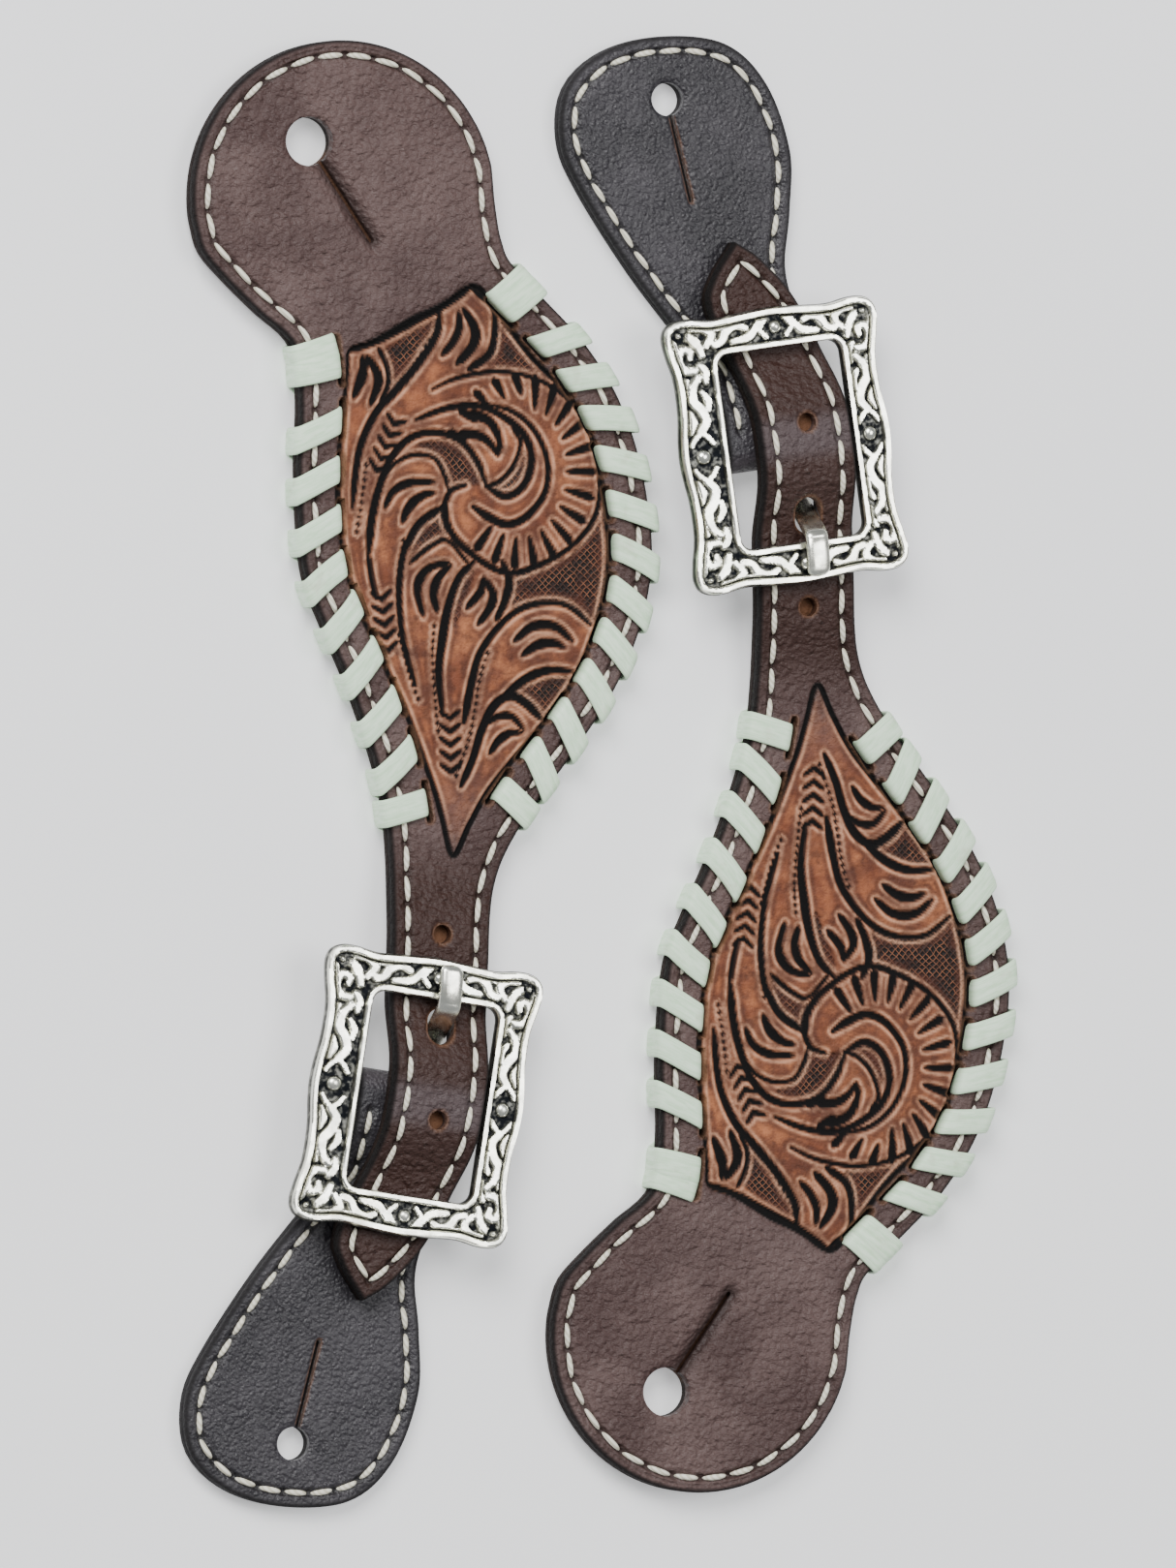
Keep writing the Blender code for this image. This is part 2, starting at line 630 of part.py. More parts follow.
def centre_on_origin(straps):
    """Moves the straps so that the middle of the pair's underside is at the origin."""
    bpy.context.view_layer.update()
    corners = [obj.matrix_world @ vertex.co for obj in bpy.context.scene.objects if obj.type == "MESH"
               for vertex in obj.data.vertices]
    low = Vector([min(c[i] for c in corners) for i in range(3)])
    high = Vector([max(c[i] for c in corners) for i in range(3)])
    for strap in straps:
        strap.location -= Vector(((low.x + high.x) / 2, (low.y + high.y) / 2, low.z))
    bpy.context.view_layer.update()


def main():
    for obj in list(bpy.data.objects):
        bpy.data.objects.remove(obj)
    materials = {name: make_material(name) for name in COLOURS}
    pieces = make_meshes()
    straps = [make_strap("left", pieces, materials, *LEFT_PLACE, False),
              make_strap("right", pieces, materials, *RIGHT_PLACE, True)]
    centre_on_origin(straps)
    for obj in bpy.context.scene.objects:
        if obj.type == "EMPTY":
            place = obj.matrix_world.translation
            axis = obj.matrix_world.to_3x3() @ Vector((1, 0, 0))
            print(obj.name, [round(c, 6) for c in place], [round(c, 6) for c in axis])


main()
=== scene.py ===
# %% [markdown]
# # A pair of western spur straps
# Each strap is a long, broad leather strap with a carved panel, rawhide lacing along both edges and a
# big button tab. Its narrow end, the billet, is buckled to a short dark strap with a small button tab.
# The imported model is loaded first. It fixes where everything is, and the pieces made here follow it.

# %% Load the frame
import json
import math

import bpy
import numpy as np
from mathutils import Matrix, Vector, noise


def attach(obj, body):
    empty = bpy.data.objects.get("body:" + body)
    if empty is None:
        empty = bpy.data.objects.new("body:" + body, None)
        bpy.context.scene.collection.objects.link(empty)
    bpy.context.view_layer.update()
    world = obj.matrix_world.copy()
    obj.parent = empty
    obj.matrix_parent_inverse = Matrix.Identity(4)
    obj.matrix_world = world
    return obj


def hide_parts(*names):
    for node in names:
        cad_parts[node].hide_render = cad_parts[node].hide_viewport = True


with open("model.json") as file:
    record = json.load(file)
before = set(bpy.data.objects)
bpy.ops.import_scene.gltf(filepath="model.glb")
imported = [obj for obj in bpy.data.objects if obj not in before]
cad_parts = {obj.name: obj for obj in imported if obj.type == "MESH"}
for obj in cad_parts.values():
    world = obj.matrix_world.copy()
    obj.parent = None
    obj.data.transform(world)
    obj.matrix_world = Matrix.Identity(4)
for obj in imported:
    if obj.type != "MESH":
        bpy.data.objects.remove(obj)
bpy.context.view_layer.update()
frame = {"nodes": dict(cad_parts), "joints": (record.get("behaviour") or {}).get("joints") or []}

MM = 0.001

# %% [markdown]
# ## Where the two straps lie
# The pieces are drawn once, flat and in millimetres, with the origin at the middle of the buckle's bar
# and +Y towards the button tab. The hinges of the two tongues say where that origin is on each strap.
# The right strap is the left one's mirror image, flipped end for end.

# %% Places of the two straps
hinges = {joint["name"]: joint for joint in frame["joints"]}


def strap_place(side, buckle_turn_deg, flip):
    """The bar's middle in millimetres, and how far the strap is turned on the table."""
    hinge = hinges[side + "_tongue_hinge"]
    axis = Vector(hinge["axis"]) * flip
    turn = math.atan2(axis.y, axis.x) - flip * math.radians(buckle_turn_deg)
    return np.array([hinge["pos_m"][0] / MM, hinge["pos_m"][1] / MM, 0.0]), turn


BUCKLE_TURN_DEG = -9.0
FLIPS = {"left": 1, "right": -1}
PLACES = {side: (*strap_place(side, BUCKLE_TURN_DEG, flip), flip) for side, flip in FLIPS.items()}
BAR_Z = hinges["left_tongue_hinge"]["pos_m"][2] / MM
turn = math.radians(BUCKLE_TURN_DEG)
BUCKLE_UP = np.array([-math.sin(turn), math.cos(turn)])
BUCKLE_ACROSS = np.array([math.cos(turn), math.sin(turn)])
print("bar height", BAR_Z, "right strap's turn", round(math.degrees(PLACES["right"][1]), 3))


def on_table(points, side):
    """Strap points in millimetres to the model's metres, for one side."""
    origin, angle, flip = PLACES[side]
    x, y, z = points[:, 0], points[:, 1] * flip, points[:, 2]
    c, s = math.cos(angle), math.sin(angle)
    return (np.stack([x * c - y * s, x * s + y * c, z], axis=1) + origin) * MM


def from_buckle(points):
    """Points given along the bar, along the buckle and up from the bar, in the strap's own axes."""
    flat = points[:, :1] * BUCKLE_ACROSS + points[:, 1:2] * BUCKLE_UP
    return np.column_stack([flat, points[:, 2] + BAR_Z])


# %% [markdown]
# ## Curves from a few points
# A leather worker cuts round a paper pattern. Here the pattern is a handful of points, and a
# Catmull-Rom curve runs smoothly through them. The distance to such a curve then says where an edge is
# rounded, where a seam's groove lies and how deep a carving is.


# %% A smooth curve and an arc
def smooth_curve(knots, step, closed=False):
    """Points about a step apart on the smooth curve through the knots."""
    knots = np.array(knots, float)
    if closed:
        ends = np.vstack([knots[-1:], knots, knots[:2]])
    else:
        ends = np.vstack([2 * knots[0] - knots[1], knots, 2 * knots[-1] - knots[-2]])
    pieces = []
    for a, b, c, d in zip(ends, ends[1:], ends[2:], ends[3:]):
        t = np.linspace(0, 1, max(1, round(np.linalg.norm(c - b) / step)) + 1)[:-1, None]
        pieces.append(0.5 * (2 * b + (c - a) * t + (2 * a - 5 * b + 4 * c - d) * t**2
                             + (3 * b - a - 3 * c + d) * t**3))
    points = np.vstack(pieces)
    return points if closed else np.vstack([points, knots[-1:]])


def arc(centre, radius, start_deg, end_deg, count):
    """Points on a circle, from one angle to another, in so many steps."""
    angles = np.radians(np.linspace(start_deg, end_deg, count + 1))
    return np.column_stack([centre[0] + radius * np.cos(angles), centre[1] + radius * np.sin(angles)])


corner = smooth_curve([(0, 0), (10, 0), (10, 10)], 1.0)
print("a curve through 3 points has", len(corner), "points")

# %% [markdown]
# ## Measuring against a curve
# Nearly all that is worked into leather is at a set distance from some line: an edge, a seam, a cut. So
# the helpers say how far a point is from a line, whether it is inside a loop, and where a place along a
# line is. Ease is the soft step that every rounded shoulder is made with.


# %% Distances and places
LOOK_AHEAD = 0.4  # the direction of a line is taken over this far to both sides


def lengths_along(line):
    """The length travelled at each point of a line."""
    return np.concatenate([[0], np.cumsum(np.linalg.norm(np.diff(line, axis=0), axis=1))])


def nearest_on(points, line):
    """For each point, its distance to the line, and how far along the line that is, from 0 to 1."""
    best = np.full(len(points), np.inf)
    along = np.zeros(len(points))
    lengths = lengths_along(line)
    for a, b, start, end in zip(line, line[1:], lengths, lengths[1:]):
        way = b - a
        share = np.clip((points - a) @ way / max(way @ way, 1e-12), 0, 1)
        offset = points - a - share[:, None] * way
        distance = np.einsum("ij,ij->i", offset, offset)
        closer = distance < best
        best[closer] = distance[closer]
        along[closer] = (start + share * (end - start))[closer]
    return np.sqrt(best), along / lengths[-1]


def near(points, line, reach):
    """Which points are in the line's box, widened by the reach."""
    low, high = line.min(axis=0) - reach, line.max(axis=0) + reach
    return np.all((points >= low) & (points <= high), axis=1)


def inside(points, loop):
    """Which points are inside a closed loop, by counting the edges that a ray crosses."""
    crossings = np.zeros(len(points), int)
    for (ax, ay), (bx, by) in zip(loop, np.roll(loop, -1, axis=0)):
        if ay != by:
            across = (ay > points[:, 1]) != (by > points[:, 1])
            crossings += across & (points[:, 0] < (bx - ax) * (points[:, 1] - ay) / (by - ay) + ax)
    return crossings % 2 == 1


def ease(start, end, value):
    """0 before the start, 1 after the end, and smooth between them."""
    t = np.clip((value - start) / (end - start), 0, 1)
    return t * t * (3 - 2 * t)


def offset_line(line, distance):
    """The line moved to its left."""
    way = np.gradient(line, axis=0)
    way /= np.linalg.norm(way, axis=1)[:, None]
    return line + np.column_stack([-way[:, 1], way[:, 0]]) * distance


def place_at(line, lengths, distance):
    """Points and unit directions at distances along a line."""
    point = np.column_stack([np.interp(distance, lengths, line[:, i]) for i in (0, 1)])
    ahead = np.column_stack([np.interp(distance + LOOK_AHEAD, lengths, line[:, i]) for i in (0, 1)])
    behind = np.column_stack([np.interp(distance - LOOK_AHEAD, lengths, line[:, i]) for i in (0, 1)])
    way = ahead - behind
    return point, way / np.linalg.norm(way, axis=1)[:, None]


print("from (5, 5) to that curve:", round(float(nearest_on(np.array([[5.0, 5.0]]), corner)[0][0]), 2))


# %% [markdown]
# ## The patterns of the leather pieces
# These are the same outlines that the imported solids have, drawn more finely. The long strap runs from
# the crown of the big button tab down to the billet's tip. Each side is one line from top to bottom,
# because the grid that is laid between them later needs one point on each side for every row.

# %% Outlines of the long strap
TAB_CENTRE, TAB_RADIUS = (-10.8, 137.8), 24.4
WAIST_LEFT, WAIST_RIGHT = (-18.9, 115.2), (17.1, 127.2)
BILLET_TIP = (-8.6, -31.2)
LEFT_SIDE = [(-33.5, 129.5), (-29.7, 125.2), (-24.6, 120.4), WAIST_LEFT, (-17.8, 107.0), (-18.1, 95.0),
             (-17.1, 81.0), (-13.9, 72.3), (-10.2, 64.0), (-6.5, 54.0), (-4.2, 45.5), (-3.3, 37.0),
             (-3.7, 28.0), (-4.2, 15.0), (-4.9, 2.0), (-7.5, -9.5), (-12.6, -20.5), (-12.0, -25.5),
             BILLET_TIP]
RIGHT_SIDE = [(13.7, 136.5), (14.7, 131.5), WAIST_RIGHT, (28.5, 115.5), (35.4, 103.5), (38.9, 88.0),
              (38.2, 76.0), (33.6, 63.8), (26.0, 52.5), (18.4, 42.6), (14.0, 34.5), (12.0, 26.0),
              (11.3, 14.0), (10.1, 1.0), (7.6, -10.5), (1.8, -22.0), (-4.2, -28.5), BILLET_TIP]
CROWN_TOP = (TAB_CENTRE[0], TAB_CENTRE[1] + TAB_RADIUS)
CROWN_LEFT_DEG, CROWN_RIGHT_DEG, CROWN_STEPS = 188, 12, 60
left_crown = arc(TAB_CENTRE, TAB_RADIUS, 90, CROWN_LEFT_DEG, CROWN_STEPS)
right_crown = arc(TAB_CENTRE, TAB_RADIUS, 90, CROWN_RIGHT_DEG, CROWN_STEPS)
FINE = 0.4
left_edge = np.vstack([left_crown[:-1], smooth_curve([left_crown[-1], *LEFT_SIDE], FINE)])
right_edge = np.vstack([right_crown[:-1], smooth_curve([right_crown[-1], *RIGHT_SIDE], FINE)])
strap_loop = np.vstack([left_edge, right_edge[-2:0:-1]])
print("long strap", round(CROWN_TOP[1] - BILLET_TIP[1], 1), "mm, outline points", len(strap_loop))

# %% [markdown]
# ## A ply of leather as a fine grid
# Real leather is a flat sheet with worked edges: shaved round, dyed and rubbed. A grid of quads that is
# set row by row between the two sides of the outline gives an even surface to carve into, which a
# filled outline would not. Each row goes once round the ply: over the top, down a side, under it and up.
# The columns are close together at the edges, where the rounding and the seam are.


# %% Grid and clean-up helpers
def start_clean():
    """Deselects everything, because an operator acts on all that is selected."""
    bpy.ops.object.select_all(action="DESELECT")


def grid_piece(name, points):
    """A grid primitive whose vertices are set from rows of points."""
    start_clean()
    rows, columns = points.shape[:2]
    bpy.ops.mesh.primitive_grid_add(x_subdivisions=columns - 1, y_subdivisions=rows - 1, size=1)
    obj = bpy.context.object
    obj.name = obj.data.name = name
    obj.data.vertices.foreach_set("co", points.reshape(-1).astype(np.float32))
    return obj


def close_up(obj, merge=1e-4):
    """Merges doubled vertices and turns every face outwards."""
    start_clean()
    bpy.context.view_layer.objects.active = obj
    obj.select_set(True)
    bpy.ops.object.mode_set(mode="EDIT")
    bpy.ops.mesh.select_all(action="SELECT")
    bpy.ops.mesh.remove_doubles(threshold=merge)
    bpy.ops.mesh.normals_make_consistent(inside=False)
    bpy.ops.object.mode_set(mode="OBJECT")
    return obj


def side_at(side, y):
    """How far across a side of an outline is, at heights along the strap."""
    order = np.argsort(side[:, 1])
    return np.interp(y, side[order, 1], side[order, 0])


print("the strap is", round(float(np.ptp(strap_loop[:, 0])), 1), "mm wide at most")

# %% The ply builder
EDGE_STEPS = np.array([0, 0.1, 0.25, 0.45, 0.7, 1.0, 1.4, 1.8, 2.15, 2.5, 2.9, 3.4])
EDGE_TUCK = 0.3  # how much the underside is drawn in at the edge
FINE_ROWS = 6000  # heights at which the spacing of the rows is worked out


def spaced_rows(left, right, step_at, low, high):
    """Row heights: close together where the step is small or where a side runs nearly level."""
    fine = np.linspace(low, high, FINE_ROWS)
    xl, xr = side_at(left, fine), side_at(right, fine)
    cost = np.maximum.reduce([np.diff(fine), abs(np.diff(xl)), abs(np.diff(xr))]) / step_at(fine[1:])
    total = np.concatenate([[0], np.cumsum(cost)])
    return np.interp(np.linspace(0, total[-1], round(total[-1]) + 1), total, fine)


def ply(name, left, right, rows, columns, bottom, top, roll):
    """A closed ply between two sides, given from top to bottom, with its upper edges rounded off."""
    xl, xr = side_at(left, rows)[:, None], side_at(right, rows)[:, None]
    width = xr - xl
    squeeze = np.minimum(1, width / (3 * EDGE_STEPS[-1]))
    from_left = xl + EDGE_STEPS * squeeze
    from_right = xr - EDGE_STEPS[::-1] * squeeze
    share = np.linspace(0, 1, columns + 2)[1:-1]
    middle = from_left[:, -1:] + (from_right[:, :1] - from_left[:, -1:]) * share
    tuck = np.minimum(EDGE_TUCK, width / 3)
    x = np.hstack([from_left, middle, from_right, xr, xr - tuck, xl + tuck, xl, xl])
    z = np.full(x.shape, float(top))
    z[:, -5], z[:, -4], z[:, -3], z[:, -2] = bottom + EDGE_TUCK, bottom, bottom, bottom + EDGE_TUCK
    points = np.stack([x, np.broadcast_to(rows[:, None], x.shape), z], axis=2)
    across = points[:, :-5].reshape(-1, 3)
    loop = np.vstack([left, right[::-1]])
    distance, _ = nearest_on(across[:, :2], loop)
    inner = np.clip(roll - distance, 0, roll)
    across[:, 2] = top - (roll - np.sqrt(np.maximum(roll**2 - inner**2, 0)))
    points[:, :-5] = across.reshape(len(rows), -1, 3)
    points[:, -1, 2] = points[:, 0, 2]
    return close_up(grid_piece(name, points))


print("steps in from an edge:", EDGE_STEPS.tolist(), "mm")

# %% [markdown]
# ## Punching and painting
# A punch is a steel tube that goes through the flat leather. Here it is an upright prism in the shape of
# the hole, and a boolean modifier cuts with it. Dye, wear, painted shade and painted highlights are kept as
# numbers on the points, in attributes of four channels, and the materials read them.


# %% Punch, points and paint
def punch(obj, loops, low, high):
    """Cuts holes right through, each with an upright prism."""
    for loop in loops:
        start_clean()
        bpy.ops.mesh.primitive_cylinder_add(vertices=len(loop), end_fill_type="NGON")
        cutter = bpy.context.object
        walls = np.empty((len(loop) * 2, 3), np.float32)
        walls[:, :2] = np.repeat(loop, 2, axis=0)
        walls[0::2, 2], walls[1::2, 2] = low, high
        cutter.data.vertices.foreach_set("co", walls.reshape(-1))
        close_up(cutter)
        start_clean()
        bpy.context.view_layer.objects.active = obj
        obj.select_set(True)
        cut = obj.modifiers.new("hole", "BOOLEAN")
        cut.solver = "EXACT"
        cut.object = cutter
        bpy.ops.object.modifier_apply(modifier=cut.name)
        bpy.data.objects.remove(cutter)
    return obj


def points_of(obj):
    """The piece's points as an array of three columns."""
    co = np.empty(len(obj.data.vertices) * 3, np.float32)
    obj.data.vertices.foreach_get("co", co)
    return co.reshape(-1, 3).astype(float)


def set_points(obj, points):
    """Moves the piece's points to new places."""
    obj.data.vertices.foreach_set("co", points.reshape(-1).astype(np.float32))
    obj.data.update()


def paint(obj, name, values):
    """A point attribute of four numbers, which the piece's material reads."""
    layer = obj.data.attributes.new(name, "FLOAT_COLOR", "POINT")
    layer.data.foreach_set("color", np.clip(values, 0, 1).reshape(-1).astype(np.float32))


print("helpers ready:", [helper.__name__ for helper in (punch, points_of, set_points, paint)])

# %% [markdown]
# ## Holes in the leather
# The button holes are keyholes: a round hole that runs out into a slit, so that the button can be pushed
# through and then drawn tight. The billet has two round punched holes and the worn one the tongue is in.

# %% Hole outlines
TONGUE_AT, TONGUE_LEAN = 2.6, -0.08  # off the buckle's middle, and sideways for each step up from the bar
PIN_HOLE_LENGTH, PIN_HOLE_AT, PIN_HOLE_WIDTH = 5.6, 11.2, 4.3
LINING_PIN_HOLE_LENGTH, LINING_PIN_HOLE_AT = 6.8, 10.6  # longer, as the tongue slants through
TAB_HOLE, TAB_HOLE_RADIUS, TAB_SLIT_END, TAB_SLIT_WIDTH = (-16.5, 146.6), 3.8, (-6.3, 131.5), 0.8
BILLET_HOLES, BILLET_HOLE_RADIUS = [(4.1, 25.0), (2.2, -3.5)], 1.45


def keyhole(centre, radius, slit_end, slit_width):
    """A round hole that runs out into a slit with a round end."""
    way = np.array(slit_end) - np.array(centre)
    heading = math.degrees(math.atan2(way[1], way[0]))
    mouth = math.degrees(math.asin(slit_width / 2 / radius))
    round_end = arc(slit_end, slit_width / 2, heading - 90, heading + 90, 6)
    return np.vstack([arc(centre, radius, heading + mouth, heading + 360 - mouth, 40), round_end])


def buckle_flat(u, v):
    """A place in plan, given along the bar and along the buckle."""
    return u * BUCKLE_ACROSS + v * BUCKLE_UP


def pin_opening(at, length):
    """The long hole the tongue stands in, its middle at that distance up from the bar."""
    u = TONGUE_AT + TONGUE_LEAN * at
    half_run, radius = (length - PIN_HOLE_WIDTH) / 2, PIN_HOLE_WIDTH / 2
    heading = math.degrees(turn) + 90
    return np.vstack([arc(buckle_flat(u, at + half_run), radius, heading - 90, heading + 90, 16),
                      arc(buckle_flat(u, at - half_run), radius, heading + 90, heading + 270, 16)])


pin_hole = pin_opening(PIN_HOLE_AT, PIN_HOLE_LENGTH)
lining_pin_hole = pin_opening(LINING_PIN_HOLE_AT, LINING_PIN_HOLE_LENGTH)
button_hole = keyhole(TAB_HOLE, TAB_HOLE_RADIUS, TAB_SLIT_END, TAB_SLIT_WIDTH)
round_holes = [arc(at, BILLET_HOLE_RADIUS, 0, 360, 28)[:-1] for at in BILLET_HOLES]
print("holes:", len(round_holes), "round, 1 keyhole, 1 worn by the tongue")

# %% [markdown]
# ## The carved panel
# The panel is tooled by hand: a swivel knife draws the lines, a beveller presses down one side of them,
# and camouflage and backgrounder stamps fill in. Black antiquing paste is wiped over and stays in the
# cuts. Each cut here is a short curve with a width that swells and tapers, and the leather is pushed down
# along it. What is pushed down is also written to a point attribute, so that the dye lies in the cuts.

# %% The panel's pattern
BORDER = [(-9.9, 114.8), (-5.4, 116.2), (0.6, 119.4), (4.6, 121.3), (9.9, 124.6), (13.6, 121.0),
          (19.6, 113.7), (26.2, 107.1), (29.4, 101.1), (30.9, 93.2), (31.9, 83.5), (31.0, 76.4),
          (28.9, 69.8), (25.9, 63.5), (21.6, 57.8), (16.6, 52.1), (12.2, 46.8), (9.2, 41.7), (6.6, 37.0),
          (4.8, 43.0), (3.3, 48.0), (-0.7, 58.4), (-3.7, 64.7), (-9.0, 76.1), (-11.0, 83.2),
          (-11.9, 91.0), (-11.7, 98.9), (-10.4, 110.9)]

# each cut: its width at the start, middle and end, and its points
CUTS = {
    "top stem": (0.7, 0.8, 0.6, [(4.6, 121.0), (3.9, 116.9), (0.9, 112.5), (-2.4, 108.7), (-5.7, 105.2),
                                 (-8.0, 100.8), (-9.0, 96.4), (-9.6, 90.4)]),
    "top leaf": (0.5, 0.6, 0.9, [(9.9, 124.1), (12.9, 121.6), (13.4, 118.8), (12.6, 114.4), (9.2, 111.8)]),
    "top leaf vein 1": (0.4, 0.9, 0.6, [(7.6, 120.7), (7.6, 118.1), (6.6, 115.9), (4.9, 114.0)]),
    "top leaf vein 2": (0.5, 1.2, 0.8, [(8.3, 121.1), (10.1, 118.1), (9.9, 115.6), (7.3, 112.6)]),
    "corner leaf": (0.35, 0.35, 0.35, [(-5.4, 115.0), (-4.1, 112.2), (-3.9, 109.3), (-5.1, 106.8)]),
    "corner vein 1": (0.6, 1.2, 0.5, [(-7.9, 113.7), (-7.9, 111.2), (-9.4, 107.3)]),
    "corner vein 2": (0.6, 1.1, 0.5, [(-7.2, 113.7), (-5.4, 110.3), (-6.7, 106.2)]),
    "flower rim": (0.35, 0.35, 0.8, [(3.3, 108.7), (6.3, 110.1), (9.9, 111.1), (13.9, 111.5), (18.2, 111.0),
                                     (22.2, 109.5), (25.9, 106.8), (28.5, 103.0), (30.0, 98.0), (30.4, 92.9),
                                     (29.4, 88.8), (25.9, 84.7), (20.9, 81.9), (15.9, 80.5), (11.9, 81.9),
                                     (7.9, 84.9), (5.9, 87.6), (5.3, 90.7), (6.3, 93.1), (8.6, 94.0)]),
    "petal spiral": (0.3, 0.5, 1.0, [(12.6, 106.5), (16.6, 105.2), (19.9, 102.4), (21.9, 98.0), (21.6, 93.2),
                                     (18.9, 89.5), (15.6, 88.0), (12.6, 89.0), (9.9, 90.7)]),
    "inner petal": (0.5, 0.7, 0.7, [(0.6, 104.0), (5.3, 105.7), (9.9, 106.3), (13.9, 105.1), (17.9, 102.1),
                                    (19.4, 98.3), (18.2, 94.2), (15.2, 92.3), (11.9, 93.9)]),
    "inner edge": (0.3, 0.3, 0.3, [(16.2, 103.0), (17.6, 100.5), (16.2, 96.7), (13.9, 94.5), (11.9, 93.9)]),
    "inner vein 1": (1.2, 0.9, 0.4, [(9.2, 105.2), (12.6, 103.8), (14.2, 100.8), (13.9, 98.6)]),
    "inner vein 2": (1.2, 0.9, 0.4, [(7.6, 101.9), (10.9, 101.6), (12.9, 100.2), (13.9, 98.6)]),
    "middle leaf": (0.9, 0.7, 0.5, [(-7.0, 83.2), (-6.5, 88.5), (-5.4, 93.2), (-3.4, 98.0), (-0.4, 101.1),
                                    (3.6, 102.1), (7.9, 100.8), (10.6, 97.7), (11.9, 94.5)]),
    "middle leaf edge": (0.3, 0.3, 0.3, [(-5.1, 93.9), (-3.1, 97.0), (0.3, 98.6), (3.6, 98.1), (5.3, 95.4),
                                         (5.9, 93.2)]),
    "middle vein 1": (0.5, 0.9, 0.5, [(-4.4, 90.4), (-3.1, 92.9), (-0.4, 94.3), (3.6, 94.5)]),
    "middle vein 2": (0.5, 1.1, 0.5, [(-1.6, 88.2), (-0.4, 90.7), (1.6, 92.3), (3.6, 92.8)]),
    "low stem": (0.8, 0.6, 0.4, [(5.3, 90.9), (1.3, 88.2), (-0.7, 85.0), (-1.6, 82.4), (-2.1, 77.6),
                                 (-1.7, 72.0), (-0.7, 67.2), (0.6, 63.1)]),
    "left rib": (0.5, 0.5, 0.4, [(-7.0, 83.2), (-6.5, 79.5), (-5.7, 76.4)]),
    "low leaf": (0.35, 0.35, 0.35, [(-0.4, 81.9), (3.3, 84.7), (5.9, 85.4), (9.2, 81.9)]),
    "low vein 1": (0.5, 1.0, 0.5, [(5.9, 82.1), (2.6, 81.1), (0.9, 78.3), (1.8, 73.9)]),
    "low vein 2": (0.5, 1.0, 0.5, [(6.3, 81.7), (4.3, 79.8), (3.5, 77.3), (4.1, 74.5)]),
    "dark stem": (0.6, 1.0, 0.4, [(10.2, 82.4), (7.6, 79.8), (5.9, 75.4), (4.8, 69.8), (4.3, 64.7),
                                  (5.0, 58.4)]),
    "wedge vein 1": (0.5, 0.9, 0.5, [(11.6, 79.8), (11.1, 77.6), (8.9, 75.1)]),
    "wedge vein 2": (0.5, 1.0, 0.5, [(11.7, 79.7), (13.1, 77.3), (12.6, 75.1), (10.7, 72.6)]),
    "wedge leaf": (0.6, 0.9, 0.6, [(14.6, 82.4), (15.7, 79.5), (15.1, 76.4), (13.6, 73.2)]),
    "big leaf": (0.4, 0.6, 0.9, [(29.0, 72.6), (25.2, 75.5), (20.9, 75.9), (16.9, 74.6), (13.6, 71.8),
                                 (10.9, 67.9), (9.6, 63.5), (8.4, 57.5)]),
    "big vein 1": (0.5, 1.1, 0.5, [(16.6, 70.1), (19.6, 72.3), (23.2, 72.3), (26.0, 70.1)]),
    "big vein 2": (0.5, 1.1, 0.5, [(17.9, 67.9), (20.2, 69.4), (22.6, 69.8), (24.7, 69.1)]),
    "big under": (0.5, 1.0, 0.6, [(26.0, 65.4), (21.9, 65.5), (18.2, 64.1), (14.6, 61.3)]),
    "small leaf": (0.9, 0.9, 0.6, [(20.9, 58.1), (18.6, 60.3), (15.9, 61.6), (13.2, 60.0), (11.2, 56.2),
                                   (9.9, 52.1), (7.9, 47.7)]),
    "small vein 1": (0.4, 0.8, 0.4, [(11.9, 57.2), (13.9, 58.4), (16.2, 58.4), (18.1, 56.4)]),
    "small vein 2": (0.4, 0.9, 0.4, [(12.6, 52.7), (13.9, 54.6), (15.9, 55.9), (17.7, 55.9)]),
}
MATTED = [
    [(-4.4, 114.7), (0.6, 118.1), (4.3, 119.7), (3.6, 116.6), (0.6, 112.2), (-2.7, 108.7), (-3.9, 108.4),
     (-3.9, 112.5)],
    [(13.9, 119.4), (16.6, 116.9), (19.9, 113.1), (22.6, 110.3), (17.9, 111.5), (12.4, 112.2), (13.2, 115.3)],
    [(0.6, 100.2), (5.3, 101.1), (8.6, 99.9), (11.2, 96.4), (11.9, 94.2), (7.6, 93.9), (6.1, 93.2),
     (4.9, 96.1), (3.3, 98.6)],
    [(18.2, 99.5), (18.9, 97.3), (17.9, 94.8), (15.6, 92.8), (12.6, 93.6), (15.6, 95.4), (17.2, 98.0)],
    [(4.9, 90.4), (5.9, 86.6), (3.3, 85.0), (-0.1, 82.2), (-0.2, 85.4), (1.9, 88.5)],
    [(30.7, 91.0), (31.5, 83.2), (31.2, 77.6), (29.2, 72.6), (25.2, 75.6), (20.9, 76.1), (16.6, 74.8),
     (15.9, 77.6), (16.6, 80.2), (21.2, 81.7), (25.5, 83.5), (28.9, 87.3)],
    [(9.2, 81.4), (10.2, 80.5), (8.6, 76.1), (6.9, 72.0), (6.4, 73.5), (7.6, 78.9)],
    [(25.5, 64.7), (24.5, 61.9), (21.2, 57.5), (19.2, 60.0), (16.2, 61.9), (19.6, 63.8)]]
CHEVRON_ROWS = [((-2.9, 103.3), (-5.7, 96.2)), ((-4.9, 76.4), (-3.9, 68.5)), ((6.1, 58.1), (6.3, 49.9))]
CHEVRONS, CHEVRON_HALF = 5, 1.65
